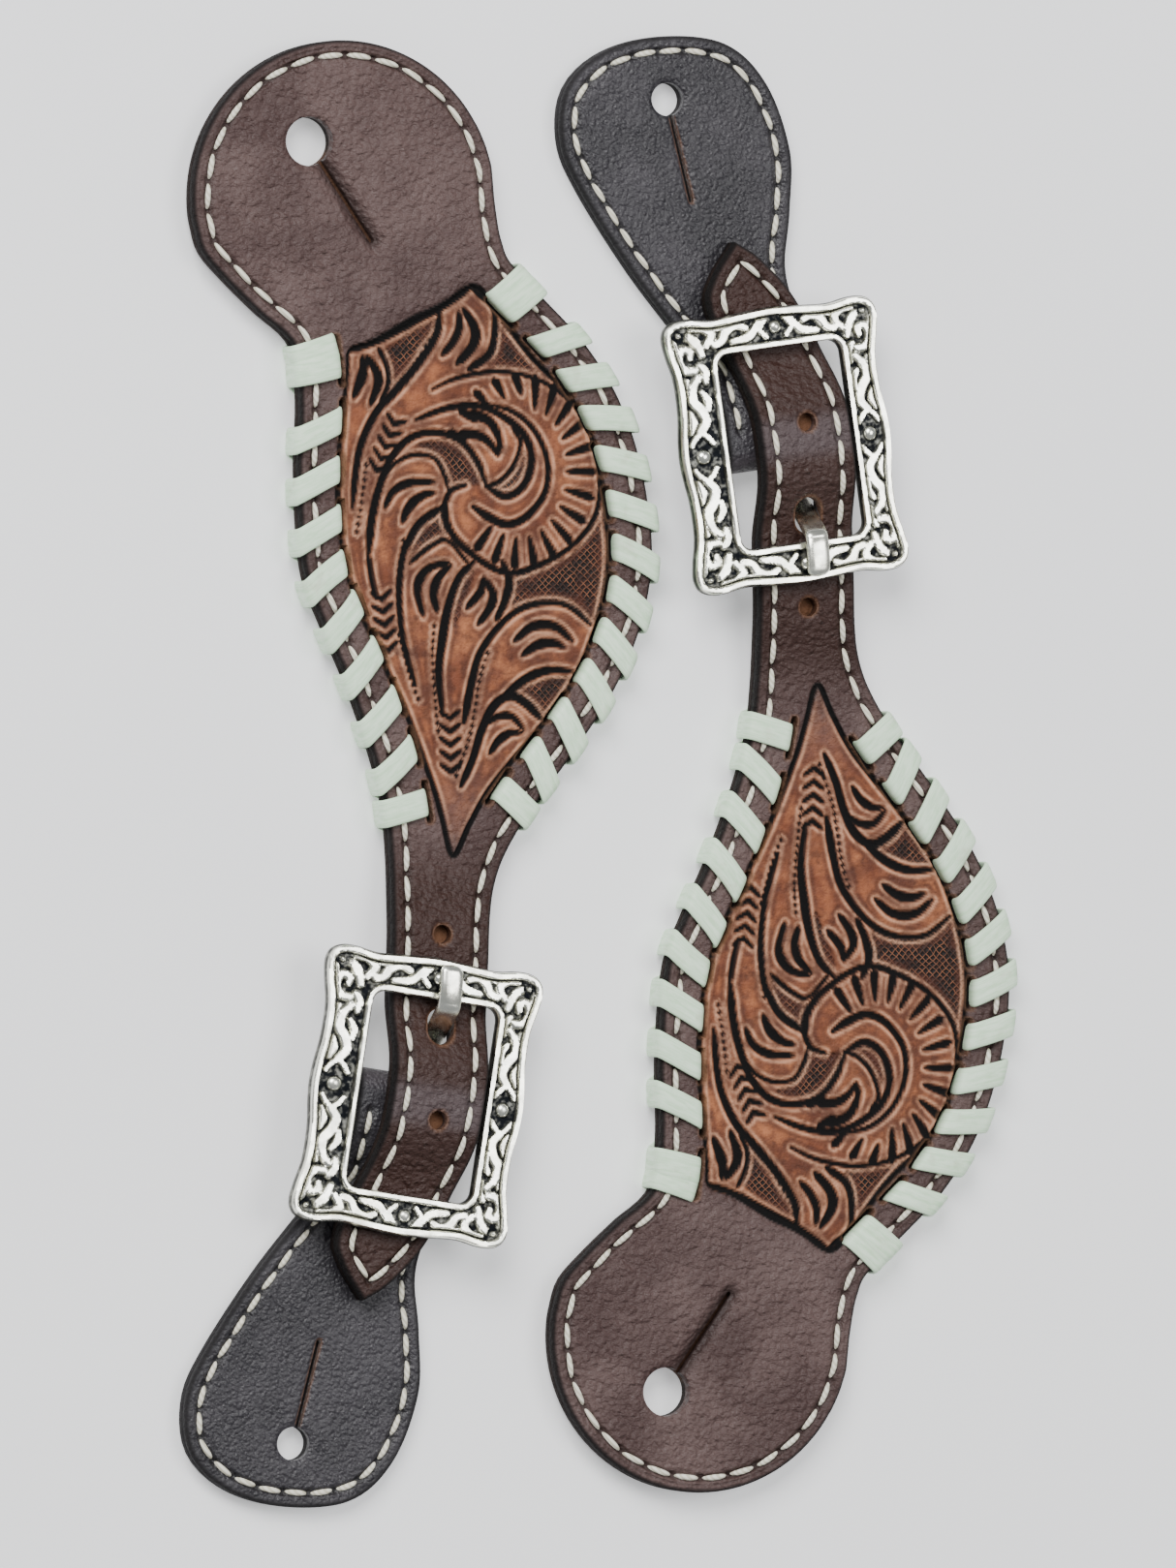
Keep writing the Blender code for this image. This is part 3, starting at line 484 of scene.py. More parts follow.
DOT_ROWS = [[(4.3, 118.1), (1.9, 114.7), (-1.1, 109.6)], [(-7.4, 97.0), (-8.2, 91.0), (-9.0, 86.3)],
            [(3.6, 72.3), (3.3, 68.2), (3.6, 62.8), (4.3, 55.3)],
            [(12.2, 68.2), (10.9, 64.1), (10.2, 59.7), (9.2, 55.0), (6.8, 48.5)],
            [(-2.1, 71.0), (-0.4, 64.7), (1.3, 60.3)], [(-1.4, 85.4), (-2.1, 80.6)]]
DOT_PITCH = 1.15
FLOWER, FLOWER_RADII, FLUTES, FLUTE_LENGTH = np.array([17.4, 96.2]), (12.4, 15.0), 23, 4.7
print("cuts", len(CUTS), "matted patches", len(MATTED))


# %% Knife cuts and the border
CUT_WIDENING = 1.2  # the beveller opens a knife's line
CUT_STEP, CUT_DEPTH = 0.5, 0.6


def stroke(points, start, middle, end, depth=CUT_DEPTH):
    """A stroke is a line, its width at the start, middle and end, and its depth."""
    return smooth_curve(points, CUT_STEP), (start, middle, end), depth


strokes = [stroke(points, *(width * CUT_WIDENING for width in widths)) for *widths, points in CUTS.values()]
border = smooth_curve(BORDER, 0.6, closed=True)
strokes.append((np.vstack([border, border[:1], border[1:3]]), (0.6, 0.5, 0.6), CUT_DEPTH))
strokes.append(stroke([(-10.2, 114.4), *BORDER[1:5]], 0.6, 1.3, 0.7, 0.8))
print("knife strokes", len(strokes))

# %% [markdown]
# ## Repeated stamps
# The rays round the flower, the chevrons that run down a stem and the rows of dots are each one stamp
# struck again and again. So each is made by a loop over its places, and is a very short stroke.

# %% Rays, chevrons and dots
FLUTE_WIDTHS, FLUTE_DEPTH, FLUTE_SLANT = (1.15, 0.9, 0.3), 0.55, np.array([0.9, -0.5])
CHEVRON_WIDTHS, CHEVRON_DEPTH, CHEVRON_RISE = (0.4, 0.55, 0.4), 0.45, 1.2
DOT_WIDTHS, DOT_DEPTH, DOT_HALF = (0.5, 0.6, 0.5), 0.4, 0.12
for i in range(FLUTES):
    angle = 2 * math.pi * i / FLUTES
    ray = np.array([math.cos(angle), math.sin(angle)])
    rim = FLOWER + ray * FLOWER_RADII
    slant = FLUTE_SLANT * max(0.0, ray[1])
    if ray[0] > -0.75 or ray[1] > 0.3:  # none where the petal rolls in
        length = FLUTE_LENGTH * (0.55 if ray[1] > 0.3 and ray[0] < 0.1 else 1)
        strokes.append((np.array([rim, rim - ray * length * 0.5 + slant * 0.6,
                                  rim - ray * length + slant]), FLUTE_WIDTHS, FLUTE_DEPTH))
for start, end in CHEVRON_ROWS:
    start, end = np.array(start), np.array(end)
    way = (end - start) / np.linalg.norm(end - start)
    across = np.array([-way[1], way[0]]) * CHEVRON_HALF
    for share in np.linspace(0, 1, CHEVRONS):
        point = start + (end - start) * share
        back = way * CHEVRON_RISE
        strokes.append((np.array([point - across - back, point, point + across - back]),
                        CHEVRON_WIDTHS, CHEVRON_DEPTH))
for row in DOT_ROWS:
    line = smooth_curve(row, 0.3)
    lengths = lengths_along(line)
    for distance in np.arange(0, lengths[-1], DOT_PITCH):
        point = place_at(line, lengths, distance)[0][0]
        strokes.append((np.array([point - (DOT_HALF, 0), point + (DOT_HALF, 0)]), DOT_WIDTHS, DOT_DEPTH))
matted_loops = [smooth_curve(loop, 0.8, closed=True) for loop in MATTED]
print("strokes", len(strokes))

# %% [markdown]
# ## Carving by distance
# For every point of the face, the nearest stroke says how far it is pushed down: deep in the cut, and a
# little on the bevelled bank beside it. The same distance gives the black of the cut, the pale crest beside
# it (rubbed, and a painted highlight) and a darker band beyond, so colour and shape always agree.


# %% What the tools do to each point
CUT_REACH, PATCH_REACH = 2.2, 0.8  # nothing changes further than this from a stroke or a patch
BANK_DEPTH, BANK_FALL = 0.4, 0.6
CREST_AT, CREST_SPREAD, DARK_BAND_AT, DARK_BAND_SPREAD = 0.55, 0.25, 1.15, 0.45  # from a cut's side
MATTED_DEPTH = 0.38


def carve(points):
    """For points on the face: how far each is pushed down, its dye, tan, pale crest (partly a painted
    highlight), matting and dark band.
    """
    depth, black, light, halo = np.zeros((4, len(points)))
    for line, widths, deep in strokes:
        close = np.flatnonzero(near(points, line, CUT_REACH))
        if not len(close):
            continue
        distance, along = nearest_on(points[close], line)
        half = np.interp(along, [0, 0.5, 1], widths) / 2
        half = half * np.clip(np.minimum(along, 1 - along) * 9 + 0.3, 0, 1)
        core = 1 - ease(half * 0.7, half + 0.3, distance)
        bank = BANK_DEPTH * np.exp(-np.maximum(distance - half, 0) / BANK_FALL)
        depth[close] = np.maximum(depth[close], deep * np.maximum(core, bank))
        black[close] = np.maximum(black[close], 1 - ease(half + 0.05, half + 0.33, distance))
        crest, dark_band = distance - half - CREST_AT, distance - half - DARK_BAND_AT
        light[close] = np.maximum(light[close], np.exp(-(crest / CREST_SPREAD) ** 2))
        halo[close] = np.maximum(halo[close], np.exp(-(dark_band / DARK_BAND_SPREAD) ** 2))
    matting = np.zeros(len(points))
    for loop in matted_loops:
        close = np.flatnonzero(near(points, loop, PATCH_REACH))
        distance, _ = nearest_on(points[close], np.vstack([loop, loop[:1]]))
        signed = np.where(inside(points[close], loop), distance, -distance)
        matting[close] = np.maximum(matting[close], ease(-0.3, 0.35, signed))
    distance, _ = nearest_on(points, np.vstack([border, border[:1]]))
    signed = np.where(inside(points, border), distance, -distance)
    tan = ease(-0.25, 0.3, signed) * ease(36, 54, points[:, 1])
    depth = np.maximum(depth, MATTED_DEPTH * matting)
    return depth, black, tan, light * (1 - black), matting, halo * (1 - black)


print("deepest stroke", max(deep for _, _, deep in strokes), "mm")

# %% [markdown]
# ## The long strap's face
# The ply is made flat, punched while it is flat, carved, and only then lifted where it goes through the
# buckle, as leather is worked. The seam lies in a groove a few millimetres from the edge, pulled in at
# each stitch, and a slit is open beside each turn of lacing.

# %% Heights, and the places of the laces
LINING_BOTTOM, LINING_TOP, FACE_BOTTOM, FACE_TOP = 1.1, 2.75, 2.78, 5.3
FOLD_INNER, PLY, FRAME_BOTTOM, FRAME_THICKNESS = 1.8, 1.6, 8.4, 2.4
SHORT_FACE_Z = 1.9
RISE_NEAR, RISE_FAR = 4.0, 15.0
LIFT_START, LIFT_END = 38.0, 23.0
BILLET_LIFT, HUMP_LIFT = 2.7, 6.3
SEAM_INSET, STITCH_PITCH, STITCH_LENGTH = 2.3, 4.6, 3.9
LACE_SLIT_INSET = 5.8
# an edge, the side its leather is on, how many wraps, and where the first and the last one are
RUNS = {"outer": (left_edge, 1, 10, 3.5, 73.5), "inner": (right_edge, -1, 13, 3.0, 96.0)}


def billet_lift(points):
    """How far the billet is lifted, into the buckle and then over the fold on its bar."""
    v = points[:, :2] @ BUCKLE_UP
    hump = (HUMP_LIFT - BILLET_LIFT) * ease(RISE_FAR, RISE_NEAR, abs(v))
    return BILLET_LIFT * ease(LIFT_START, LIFT_END, v) + hump


def laced_edge(name):
    """The panel's edge from the waist down, the side its leather is on, and the places of the wraps."""
    edge, inwards, wraps, first, last = RUNS[name]
    waist = WAIST_LEFT if name == "outer" else WAIST_RIGHT
    start = int(np.argmin(np.linalg.norm(edge - waist, axis=1)))
    return edge[start:], inwards, np.linspace(first, last, wraps)


def beside(line, lengths, inwards, along, depth):
    """Points in plan at distances along an edge and in from it."""
    point, way = place_at(line, lengths, along)
    return point + np.column_stack([-way[:, 1], way[:, 0]]) * np.reshape(inwards * depth, (-1, 1))


print("wraps", {name: len(laced_edge(name)[2]) for name in RUNS})

# %% [markdown]
# ## The seam
# A stitching groove is scribed at an even distance from the edge, all the way round, and the stitches
# are marked off along it with a pricking wheel. In a tight corner the moved line would fold back on
# itself, so the points that come too near the edge are left out.


# %% The seam line and its stitches
def seam_line(loop, distance):
    """The outline moved in by a distance, without the places where it folds."""
    way = np.roll(loop, -1, axis=0) - np.roll(loop, 1, axis=0)
    way /= np.linalg.norm(way, axis=1)[:, None]
    moved = loop + np.column_stack([-way[:, 1], way[:, 0]]) * distance
    away, _ = nearest_on(moved, np.vstack([loop, loop[:1]]))
    return moved[away > distance * 0.97]


seam = seam_line(strap_loop, SEAM_INSET)
seam = np.vstack([seam, seam[:1]])
seam_lengths = lengths_along(seam)
stitch_count = round(seam_lengths[-1] / STITCH_PITCH)
stitch_at = (np.arange(stitch_count) + 0.5) * seam_lengths[-1] / stitch_count
print("seam", round(seam_lengths[-1], 1), "mm,", stitch_count, "stitches")

# %% [markdown]
# ## Two more tools
# Press is a flat-bottomed mark with soft shoulders, for grooves and dents. Wander is the slight
# unevenness of leather that has been wet, worked and dried, taken from smooth noise.


# %% Press and wander
def press(value, centre, half, soft):
    """1 within half of the centre, falling to 0 over the soft distance."""
    return 1 - ease(half, half + soft, abs(value - centre))


def wander(points, size, seed):
    """Smooth, small unevenness, from -1 to 1."""
    shift = Vector((seed * 7.3, seed * 3.1, seed))
    return np.array([noise.noise(Vector((x, y, 0)) / size + shift) for x, y in points[:, :2]])


print("a press at its middle and its edge:", press(0, 0, 1, 1), press(2, 0, 1, 1))

# %% [markdown]
# ## Cutting out the face
# The face is one ply with a rounded upper edge. Its rows are closest together along the carved panel,
# where the grid has to hold the finest cuts, and the holes go through before anything is worked.

# %% The face, flat and punched
PANEL_LOW, PANEL_HIGH = 34.0, 126.0
PANEL_STEP, PLAIN_STEP, FACE_ROLL = 0.36, 0.5, 0.9
COLUMNS = 146
COARSER = 1
PUNCH_LOW, PUNCH_HIGH = 0, 8  # the punches reach from below the leather to above it


def face_step(y):
    """How far apart the face's rows are, at heights along the strap."""
    return np.where((y > PANEL_LOW) & (y < PANEL_HIGH), PANEL_STEP, PLAIN_STEP) * COARSER


rows = spaced_rows(left_edge, right_edge, face_step, BILLET_TIP[1], CROWN_TOP[1])
face = ply("left_strap_tooled_face", left_edge, right_edge, rows, COLUMNS, FACE_BOTTOM, FACE_TOP, FACE_ROLL)
punch(face, [button_hole, pin_hole, *round_holes], PUNCH_LOW, PUNCH_HIGH)
print("face", len(face.data.polygons), "faces")

# %% [markdown]
# ## Working the face: carving and sewing
# How far each point is lowered is added up from separate marks. The first are the carving, the seam's
# groove, the deeper pull between two stitches, and the crease that is rubbed in along the edge.

# %% Carving, groove and crease
flat = points_of(face)
plan = flat[:, :2]
on_top = np.clip((flat[:, 2] - FACE_BOTTOM) / (FACE_TOP - FACE_ROLL - FACE_BOTTOM), 0, 1)
to_edge, _ = nearest_on(plan, np.vstack([strap_loop, strap_loop[:1]]))
carved, black, tan, light, matting, halo = carve(plan)

to_seam, seam_share = nearest_on(plan, seam)
phase = seam_share * stitch_count % 1.0
between = press(phase, 0.0, 0.06, 0.1) + press(phase, 1.0, 0.06, 0.1)
groove = press(to_seam, 0, 0.35, 0.55)
sink = 0.35 * groove + 0.55 * press(to_seam, 0, 0.2, 0.5) * between
edge_crease = press(to_edge, 1.15, 0.08, 0.22)
print("deepest carving", carved.max().round(2), "mm, deepest pull of a stitch", sink.max().round(2), "mm")

# %% [markdown]
# ## Working the face: slits and holes
# A slanted slit is cut for each turn of lacing, and its lips stand up a little. The leather also dips
# round a punched hole and shows its raw, paler fibre there. The big button tab has sagged into a valley
# along its slit, from being pulled over a button.

# %% Lace slits, holes and the tab's valley
SLIT_HALF, SLIT_MARK_REACH = 2.5, 2.0
HOLE_MARK_REACH = 2.5
slit_open, slit_rim = np.zeros((2, len(flat)))
for name in RUNS:
    edge, inwards, places = laced_edge(name)
    lengths = lengths_along(edge)
    for place in places:
        span = np.array([place - SLIT_HALF, place + SLIT_HALF])
        ends = beside(edge, lengths, inwards, span, np.full(2, LACE_SLIT_INSET + 0.75))
        close = np.flatnonzero(near(plan, ends, SLIT_MARK_REACH))
        distance, _ = nearest_on(plan[close], ends)
        slit_open[close] = np.maximum(slit_open[close], press(distance, 0, 0.3, 0.3))
        slit_rim[close] = np.maximum(slit_rim[close], press(distance, 0.62, 0.12, 0.35))

hole_rim, hole_near = np.zeros((2, len(flat)))
for loop in (button_hole, *round_holes, pin_hole):
    close = np.flatnonzero(near(plan, loop, HOLE_MARK_REACH))
    distance, _ = nearest_on(plan[close], np.vstack([loop, loop[:1]]))
    hole_near[close] = np.maximum(hole_near[close], 1 - ease(0, 0.7, distance))
    if loop is not button_hole:
        hole_rim[close] = np.maximum(hole_rim[close], 1 - ease(0.1, 0.45, distance))

to_slit, _ = nearest_on(plan, np.array([TAB_HOLE, TAB_SLIT_END]))
in_tab = flat[:, 1] > WAIST_RIGHT[1]
valley = (1 - ease(0.3, 2.4, to_slit)) * in_tab
# The valley along the tab's slit is painted darker: painted shade.
slit_valley_shade = 0.85 * (1 - ease(0.4, 1.9, to_slit)) * in_tab
print("points beside lace slits", int((slit_open > 0).sum()), "and in the valley", int((valley > 0).sum()))

# %% [markdown]
# ## Working the face: all together
# The marks are weighed and subtracted from the flat face, with some waviness, and the billet is lifted.
# The same marks are painted on the points: the dye, with the lace slits painted black as painted shade,
# the raw fibre, painted shade in the creases, a painted sheen on the hump and the darker tone of the billet.

# %% The face, worked
undulation = 0.12 * wander(plan, 9.0, 1) + 0.05 * wander(plan, 2.6, 2)
wrinkled = np.column_stack([plan[:, 0] * 0.55 + plan[:, 1] * 0.25, plan[:, 1] - plan[:, 0] * 0.2])
undulation += 0.075 * wander(wrinkled, 1.25, 3) * (1 - tan) * ease(108, 124, flat[:, 1])
MARKS = [(1.0, carved), (1.0, sink), (0.12, edge_crease), (1.3, slit_open), (-0.12, slit_rim),
         (0.3, hole_near), (0.8, valley), (-1.0, undulation)]
lowered = sum(weight * mark for weight, mark in MARKS)
worked = flat.copy()
worked[:, 2] -= lowered * on_top
worked[:, 2] += billet_lift(flat)
set_points(face, worked)
# The lace slits are painted black with the dye in the cuts: painted shade in their openings.
paint(face, "finish", np.column_stack([np.maximum(black, slit_open), tan, light, matting]))
# Painted highlight: a paler sheen across the billet's hump over the bar.
hump = press(plan @ BUCKLE_UP, -1.0, 1.5, 3.0) * (plan[:, 1] < 40)
billet = ease(44, 30, flat[:, 1])
# The raw fibre round the holes fades out down their walls, so the walls are left darker: painted shade.
raw = np.maximum(hole_rim * 0.5 * on_top, slit_rim * 0.4)
# Painted shade: darker in the seam groove, along the edge crease and in the tab's slit valley.
painted_crease_shade = 0.4 * edge_crease + groove * 0.7 + slit_valley_shade
# Raw fibre, a painted sheen, painted crease shade and the dyed edge, in one attribute.
paint(face, "wear_and_painted_light", np.column_stack([raw, hump, painted_crease_shade, 1 - ease(0.1, 0.8, to_edge)]))
paint(face, "tone", np.column_stack([billet, halo, billet, billet]))
print("worked face", worked.min(axis=0).round(1), worked.max(axis=0).round(1))


# %% [markdown]
# ## The lining of the long strap
# A second, thinner ply is sewn under the face. Mostly its edge shows, so a coarser grid is enough. It
# is seen at the bottom of the billet's holes and of the tab's slit, and is painted as raw leather there.

# %% The lining
LINING_STEP, LINING_COLUMNS, LINING_ROLL = 1.2, 20, 0.2


def even_step(step):
    """The same step for all rows."""
    return lambda y: np.full(len(y), step)


lining_rows = spaced_rows(left_edge, right_edge, even_step(LINING_STEP), BILLET_TIP[1], CROWN_TOP[1])
lining = ply("left_strap_lining_ply", left_edge, right_edge, lining_rows, LINING_COLUMNS, LINING_BOTTOM,
             LINING_TOP, LINING_ROLL)
tab_round = arc(TAB_HOLE, TAB_HOLE_RADIUS, 0, 360, 40)[:-1]
punch(lining, [tab_round, lining_pin_hole], PUNCH_LOW, PUNCH_HIGH)
laid = points_of(lining)
seen, _ = nearest_on(laid[:, :2], np.array([TAB_HOLE, TAB_SLIT_END]))
bare = 0.45 * (1 - ease(1.6, 2.6, seen))
for loop in round_holes:
    away = np.hypot(*(laid[:, :2] - loop.mean(axis=0)).T)
    bare = np.maximum(bare, 1 - ease(1.8, 3.0, away))
none = np.zeros(len(laid))
paint(lining, "wear_and_painted_light", np.column_stack([bare, none, none, none]))
laid[:, 2] += billet_lift(laid)
set_points(lining, laid)
print("lining", len(lining.data.polygons), "faces")

# %% [markdown]
# ## Stitches
# Saddle stitching shows as short raised dashes of waxed cord, each sinking into the leather at its ends.
# There are over a hundred in a strap, so each is a plump bead with few faces, laid along the seam.


# %% Stitches along a line
BEAD_SIDES, BEAD_RINGS = 8, np.array([-1, -0.86, -0.5, 0, 0.5, 0.86, 1])
BEAD_SWELL = np.array([0.25, 0.6, 0.9, 1, 0.9, 0.6, 0.25])
BEAD_LEAN, BEAD_RISE = 0.10, 0.05


def stitches(name, line, lengths, places, length, thickness, height_of):
    """One object of plump dashes. height_of gives the leather's height at points in plan."""
    sides, rings, swell = BEAD_SIDES, BEAD_RINGS, BEAD_SWELL
    turns = np.linspace(0, 2 * math.pi, sides, endpoint=False)
    all_points, faces = [], []
    for number, place in enumerate(places):
        along = place + rings * length / 2
        point, way = place_at(line, lengths, along)
        left_way = np.column_stack([-way[:, 1], way[:, 0]])
        top = height_of(point) + BEAD_RISE - 0.5 * np.abs(rings) ** 4
        tilt = BEAD_LEAN * math.sin(number * 2.4)
        for i in range(len(rings)):
            ring = np.array([math.cos(t) for t in turns])
            rise = np.array([math.sin(t) for t in turns])
            plan_points = point[i] + np.outer(ring, left_way[i]) * swell[i] * thickness / 2
            plan_points = plan_points + left_way[i] * tilt * rings[i]
            all_points.append(np.column_stack([plan_points, top[i] + rise * swell[i] * thickness * 0.42]))
        base = number * len(rings) * sides
        for i in range(len(rings) - 1):
            for j in range(sides):
                a, b = base + i * sides + j, base + i * sides + (j + 1) % sides
                faces.append((a, b, b + sides, a + sides))
        faces.append(tuple(base + j for j in reversed(range(sides))))
        last = base + (len(rings) - 1) * sides
        faces.append(tuple(last + j for j in range(sides)))
    mesh = bpy.data.meshes.new(name)
    mesh.from_pydata(np.vstack(all_points).tolist(), [], faces)
    obj = bpy.data.objects.new(name, mesh)
    bpy.context.scene.collection.objects.link(obj)
    return close_up(obj, 1e-6)


def face_height(point):
    """The height of the face where the seam runs."""
    return FACE_TOP - 0.1 + billet_lift(point)


THREAD_THICKNESS = 0.9
thread = stitches("left_strap_stitches", seam, seam_lengths, stitch_at, STITCH_LENGTH, THREAD_THICKNESS,
                  face_height)
print("stitches", len(thread.data.polygons), "faces")

# %% [markdown]
# ## Rawhide lacing
# One long strip of rawhide whips each edge of the panel: up through a slit, out over the face, round the
# edge, and back under to the next slit. It is a ribbon swept along that path, with its width kept along
# the edge, because that is how the strip is held by its slits. A row of points round its section is
# carried from one turn to the next. The run starts with a doubled turn, and its first and last turns
# are square to the edge.


# %% A ribbon along a path
LACE_SECTION = [(np.sign(math.cos(a)) * abs(math.cos(a)) ** 0.4,
                 np.sign(math.sin(a)) * abs(math.sin(a)) ** 0.7)
                for a in np.linspace(0, 2 * math.pi, 18, endpoint=False)]
LACE_SECTION.append(LACE_SECTION[0])
UV_LENGTH = 20  # millimetres of strip to one unit of its UV map


def ribbon(name, line, lengths, inwards, path, half_width, half_thick):
    """A flat strip swept along (place along the edge, depth in from it, height), with a rounded section."""
    path = np.array(path)
    middle = np.column_stack([beside(line, lengths, inwards, path[:, 0], path[:, 1]), path[:, 2]])
    _, way = place_at(line, lengths, path[:, 0])
    wide = np.column_stack([way, np.zeros(len(way))])
    onward = np.gradient(middle, axis=0)
    normal = np.cross(onward, wide)
    normal /= np.linalg.norm(normal, axis=1)[:, None]
    points = np.stack([middle + wide * half_width * a + normal * half_thick * b * (1.0 - 0.1 * a * a)
                       for a, b in LACE_SECTION], axis=1)
    obj = grid_piece(name, points)
    uv = obj.data.uv_layers[0].data
    travel = np.concatenate([[0], np.cumsum(np.linalg.norm(np.diff(middle, axis=0), axis=1))])
    columns = len(LACE_SECTION)
    loops = np.empty(len(obj.data.loops), np.int32)
    obj.data.loops.foreach_get("vertex_index", loops)
    coords = np.column_stack([travel[loops // columns] / UV_LENGTH, (loops % columns) / (columns - 1)])
    uv.foreach_set("uv", coords.reshape(-1).astype(np.float32))
    print(name, "strip", round(float(travel[-1])), "mm long")
    start_clean()
    bpy.context.view_layer.objects.active = obj
    obj.select_set(True)
    bpy.ops.object.mode_set(mode="EDIT")
    bpy.ops.mesh.select_all(action="SELECT")
    bpy.ops.mesh.remove_doubles(threshold=1e-4)
    bpy.ops.mesh.select_all(action="DESELECT")
    bpy.ops.mesh.select_non_manifold(extend=False)
    bpy.ops.mesh.fill_holes(sides=0)
    bpy.ops.mesh.select_all(action="SELECT")
    bpy.ops.mesh.normals_make_consistent(inside=False)
    bpy.ops.object.mode_set(mode="OBJECT")
    return obj


print("the strip's section has", len(LACE_SECTION) - 1, "points")

# %% [markdown]
# ## The path of one turn
# A turn is given by its corners: up through the slit, slantwise over the face, down past the edge and
# back under. Rawhide is stiff, so each corner is then turned by a short, tight curve.


# %% The path of the lacing
LACE_FLOAT = 0.55  # from the leather to the middle of the strip
LACE_OUTSIDE = -0.75  # the strip's middle, past the edge
LACE_UNDER = 0.5
LACE_AT = LACE_SLIT_INSET + 0.25
CORNER_RADIUS, LACE_STEP = 0.9, 1.2
SLANT_SHARE, SQUARE_SHARE = 0.45, 0.1  # of the pitch, gained across the face


def rounded_path(corners, radius, count=4):
    """The polyline through the corners, each corner turned by a short curve."""
    corners = np.array(corners, float)
    path = [corners[0]]
    for before, corner, after in zip(corners, corners[1:], corners[2:]):
        into, out = before - corner, after - corner
        start = corner + into / np.linalg.norm(into) * min(radius, np.linalg.norm(into) * 0.45)
        end = corner + out / np.linalg.norm(out) * min(radius, np.linalg.norm(out) * 0.45)
        for t in np.linspace(0, 1, count + 1):
            path.append((1 - t) ** 2 * start + 2 * t * (1 - t) * corner + t * t * end)
    path.append(corners[-1])
    dense = [path[0]]
    for a, b in zip(path, path[1:]):
        steps = max(1, round(np.linalg.norm(b - a) / LACE_STEP))
        dense.extend(a + (b - a) * i / steps for i in range(1, steps + 1))
    return np.array(dense)


def wrap_corners(place, end, lift=0.0):
    """The corners of one turn: place along the edge, depth in from it, and height."""
    low, high, outside, slit = LACE_FLOAT, FACE_TOP + LACE_FLOAT + lift, LACE_OUTSIDE, LACE_AT
    return [(place, slit, 2.2), (place, slit, high), ((place + end) / 2, slit / 2 - 0.3, high + 0.25),
            (end, outside, high - 0.15), (end, outside - 0.1, (low + high) / 2), (end, outside, low)]


print("corners in a turn", len(wrap_corners(0, 1)))

# %% [markdown]
# ## Lacing both edges
# The turns are strung together into one path for each edge, and the ribbon is swept along it. The
# doubled first turn is a second, short ribbon under the first one, joined to it.


# %% The lacing
def lacing(name):
    """The lacing of one edge, as one piece."""
    edge, inwards, places = laced_edge(name)
    lengths = lengths_along(edge)
    pitch = places[1] - places[0]
    corners = [(places[0], LACE_AT, LACE_FLOAT)]
    for place in places:
        square = place in (places[0], places[-1])
        corners += wrap_corners(place, place + (SQUARE_SHARE if square else SLANT_SHARE) * pitch)
        if place < places[-1]:
            corners.append((place + pitch, LACE_AT, LACE_FLOAT))
    corners.append((places[-1] + 0.4 * pitch, 3.0, LACE_UNDER))
    path = rounded_path(corners, CORNER_RADIUS)
    pieces = [ribbon(f"left_lacing_{name}", edge, lengths, inwards, path, 2.15, 0.42)]
    start = places[0] - 2.0
    doubled = rounded_path([*wrap_corners(start, start + 0.3, -0.1), (start, 3.0, LACE_UNDER)], CORNER_RADIUS)
    pieces.append(ribbon("doubled turn", edge, lengths, inwards, doubled, 1.9, 0.4))
    start_clean()
    for piece in pieces:
        piece.select_set(True)
    bpy.context.view_layer.objects.active = pieces[0]
    bpy.ops.object.join()
    return pieces[0]


laces = {name: lacing(name) for name in RUNS}
print("lacing", {name: len(obj.data.polygons) for name, obj in laces.items()})

# %% [markdown]
# ## The buckle frame
# The buckle is cast in white metal, with a leafy scroll in relief between two raised rims, then blackened
# and polished so that only the high parts shine. Its outline is a quarter, mirrored twice, and its window
# is a rectangle with rounded corners.

# %% The frame's outlines
FRAME_SHIFT = -0.8  # the frame's middle, along the bar
OUTER_STEP, INNER_STEP = 0.5, 0.25
QUADRANT = [(0.0, 21.4), (5.0, 21.1), (9.5, 20.8), (13.0, 21.3), (15.4, 21.2), (17.0, 20.3), (17.6, 18.6),
            (17.3, 16.0), (16.5, 12.0), (16.5, 7.0), (17.0, 3.0), (17.2, 0.0)]
WINDOW_HALF, WINDOW_CORNER = (10.2, 15.2), 2.0
right_half = QUADRANT + [(u, -v) for u, v in reversed(QUADRANT[:-1])]
outer_knots = right_half + [(-u, v) for u, v in reversed(right_half[1:-1])]
outer_line = smooth_curve(outer_knots, OUTER_STEP, closed=True)[::-1] + (FRAME_SHIFT, 0)
reach_u, reach_v = WINDOW_HALF[0] - WINDOW_CORNER, WINDOW_HALF[1] - WINDOW_CORNER
window_corners = np.vstack([arc((sx * reach_u, sy * reach_v), WINDOW_CORNER, start, start + 90, 10)
                            for sx, sy, start in [(1, 1, 0), (-1, 1, 90), (-1, -1, 180), (1, -1, 270)]])
window_corners = np.vstack([window_corners, window_corners[:1]])
corner_lengths = lengths_along(window_corners)
inner_line = place_at(window_corners, corner_lengths, np.arange(0, corner_lengths[-1], INNER_STEP))[0]
print("round the frame", round(float(lengths_along(outer_line)[-1])), "mm, round the window",
      round(float(corner_lengths[-1])), "mm")

# %% [markdown]
# ## The scrolls
# Each leaf and stem is a stroke that swells and thins. Only one quarter is drawn: the other three mirror
# it. A bead sits in the middle of each side, with a short stem from each of its corners.

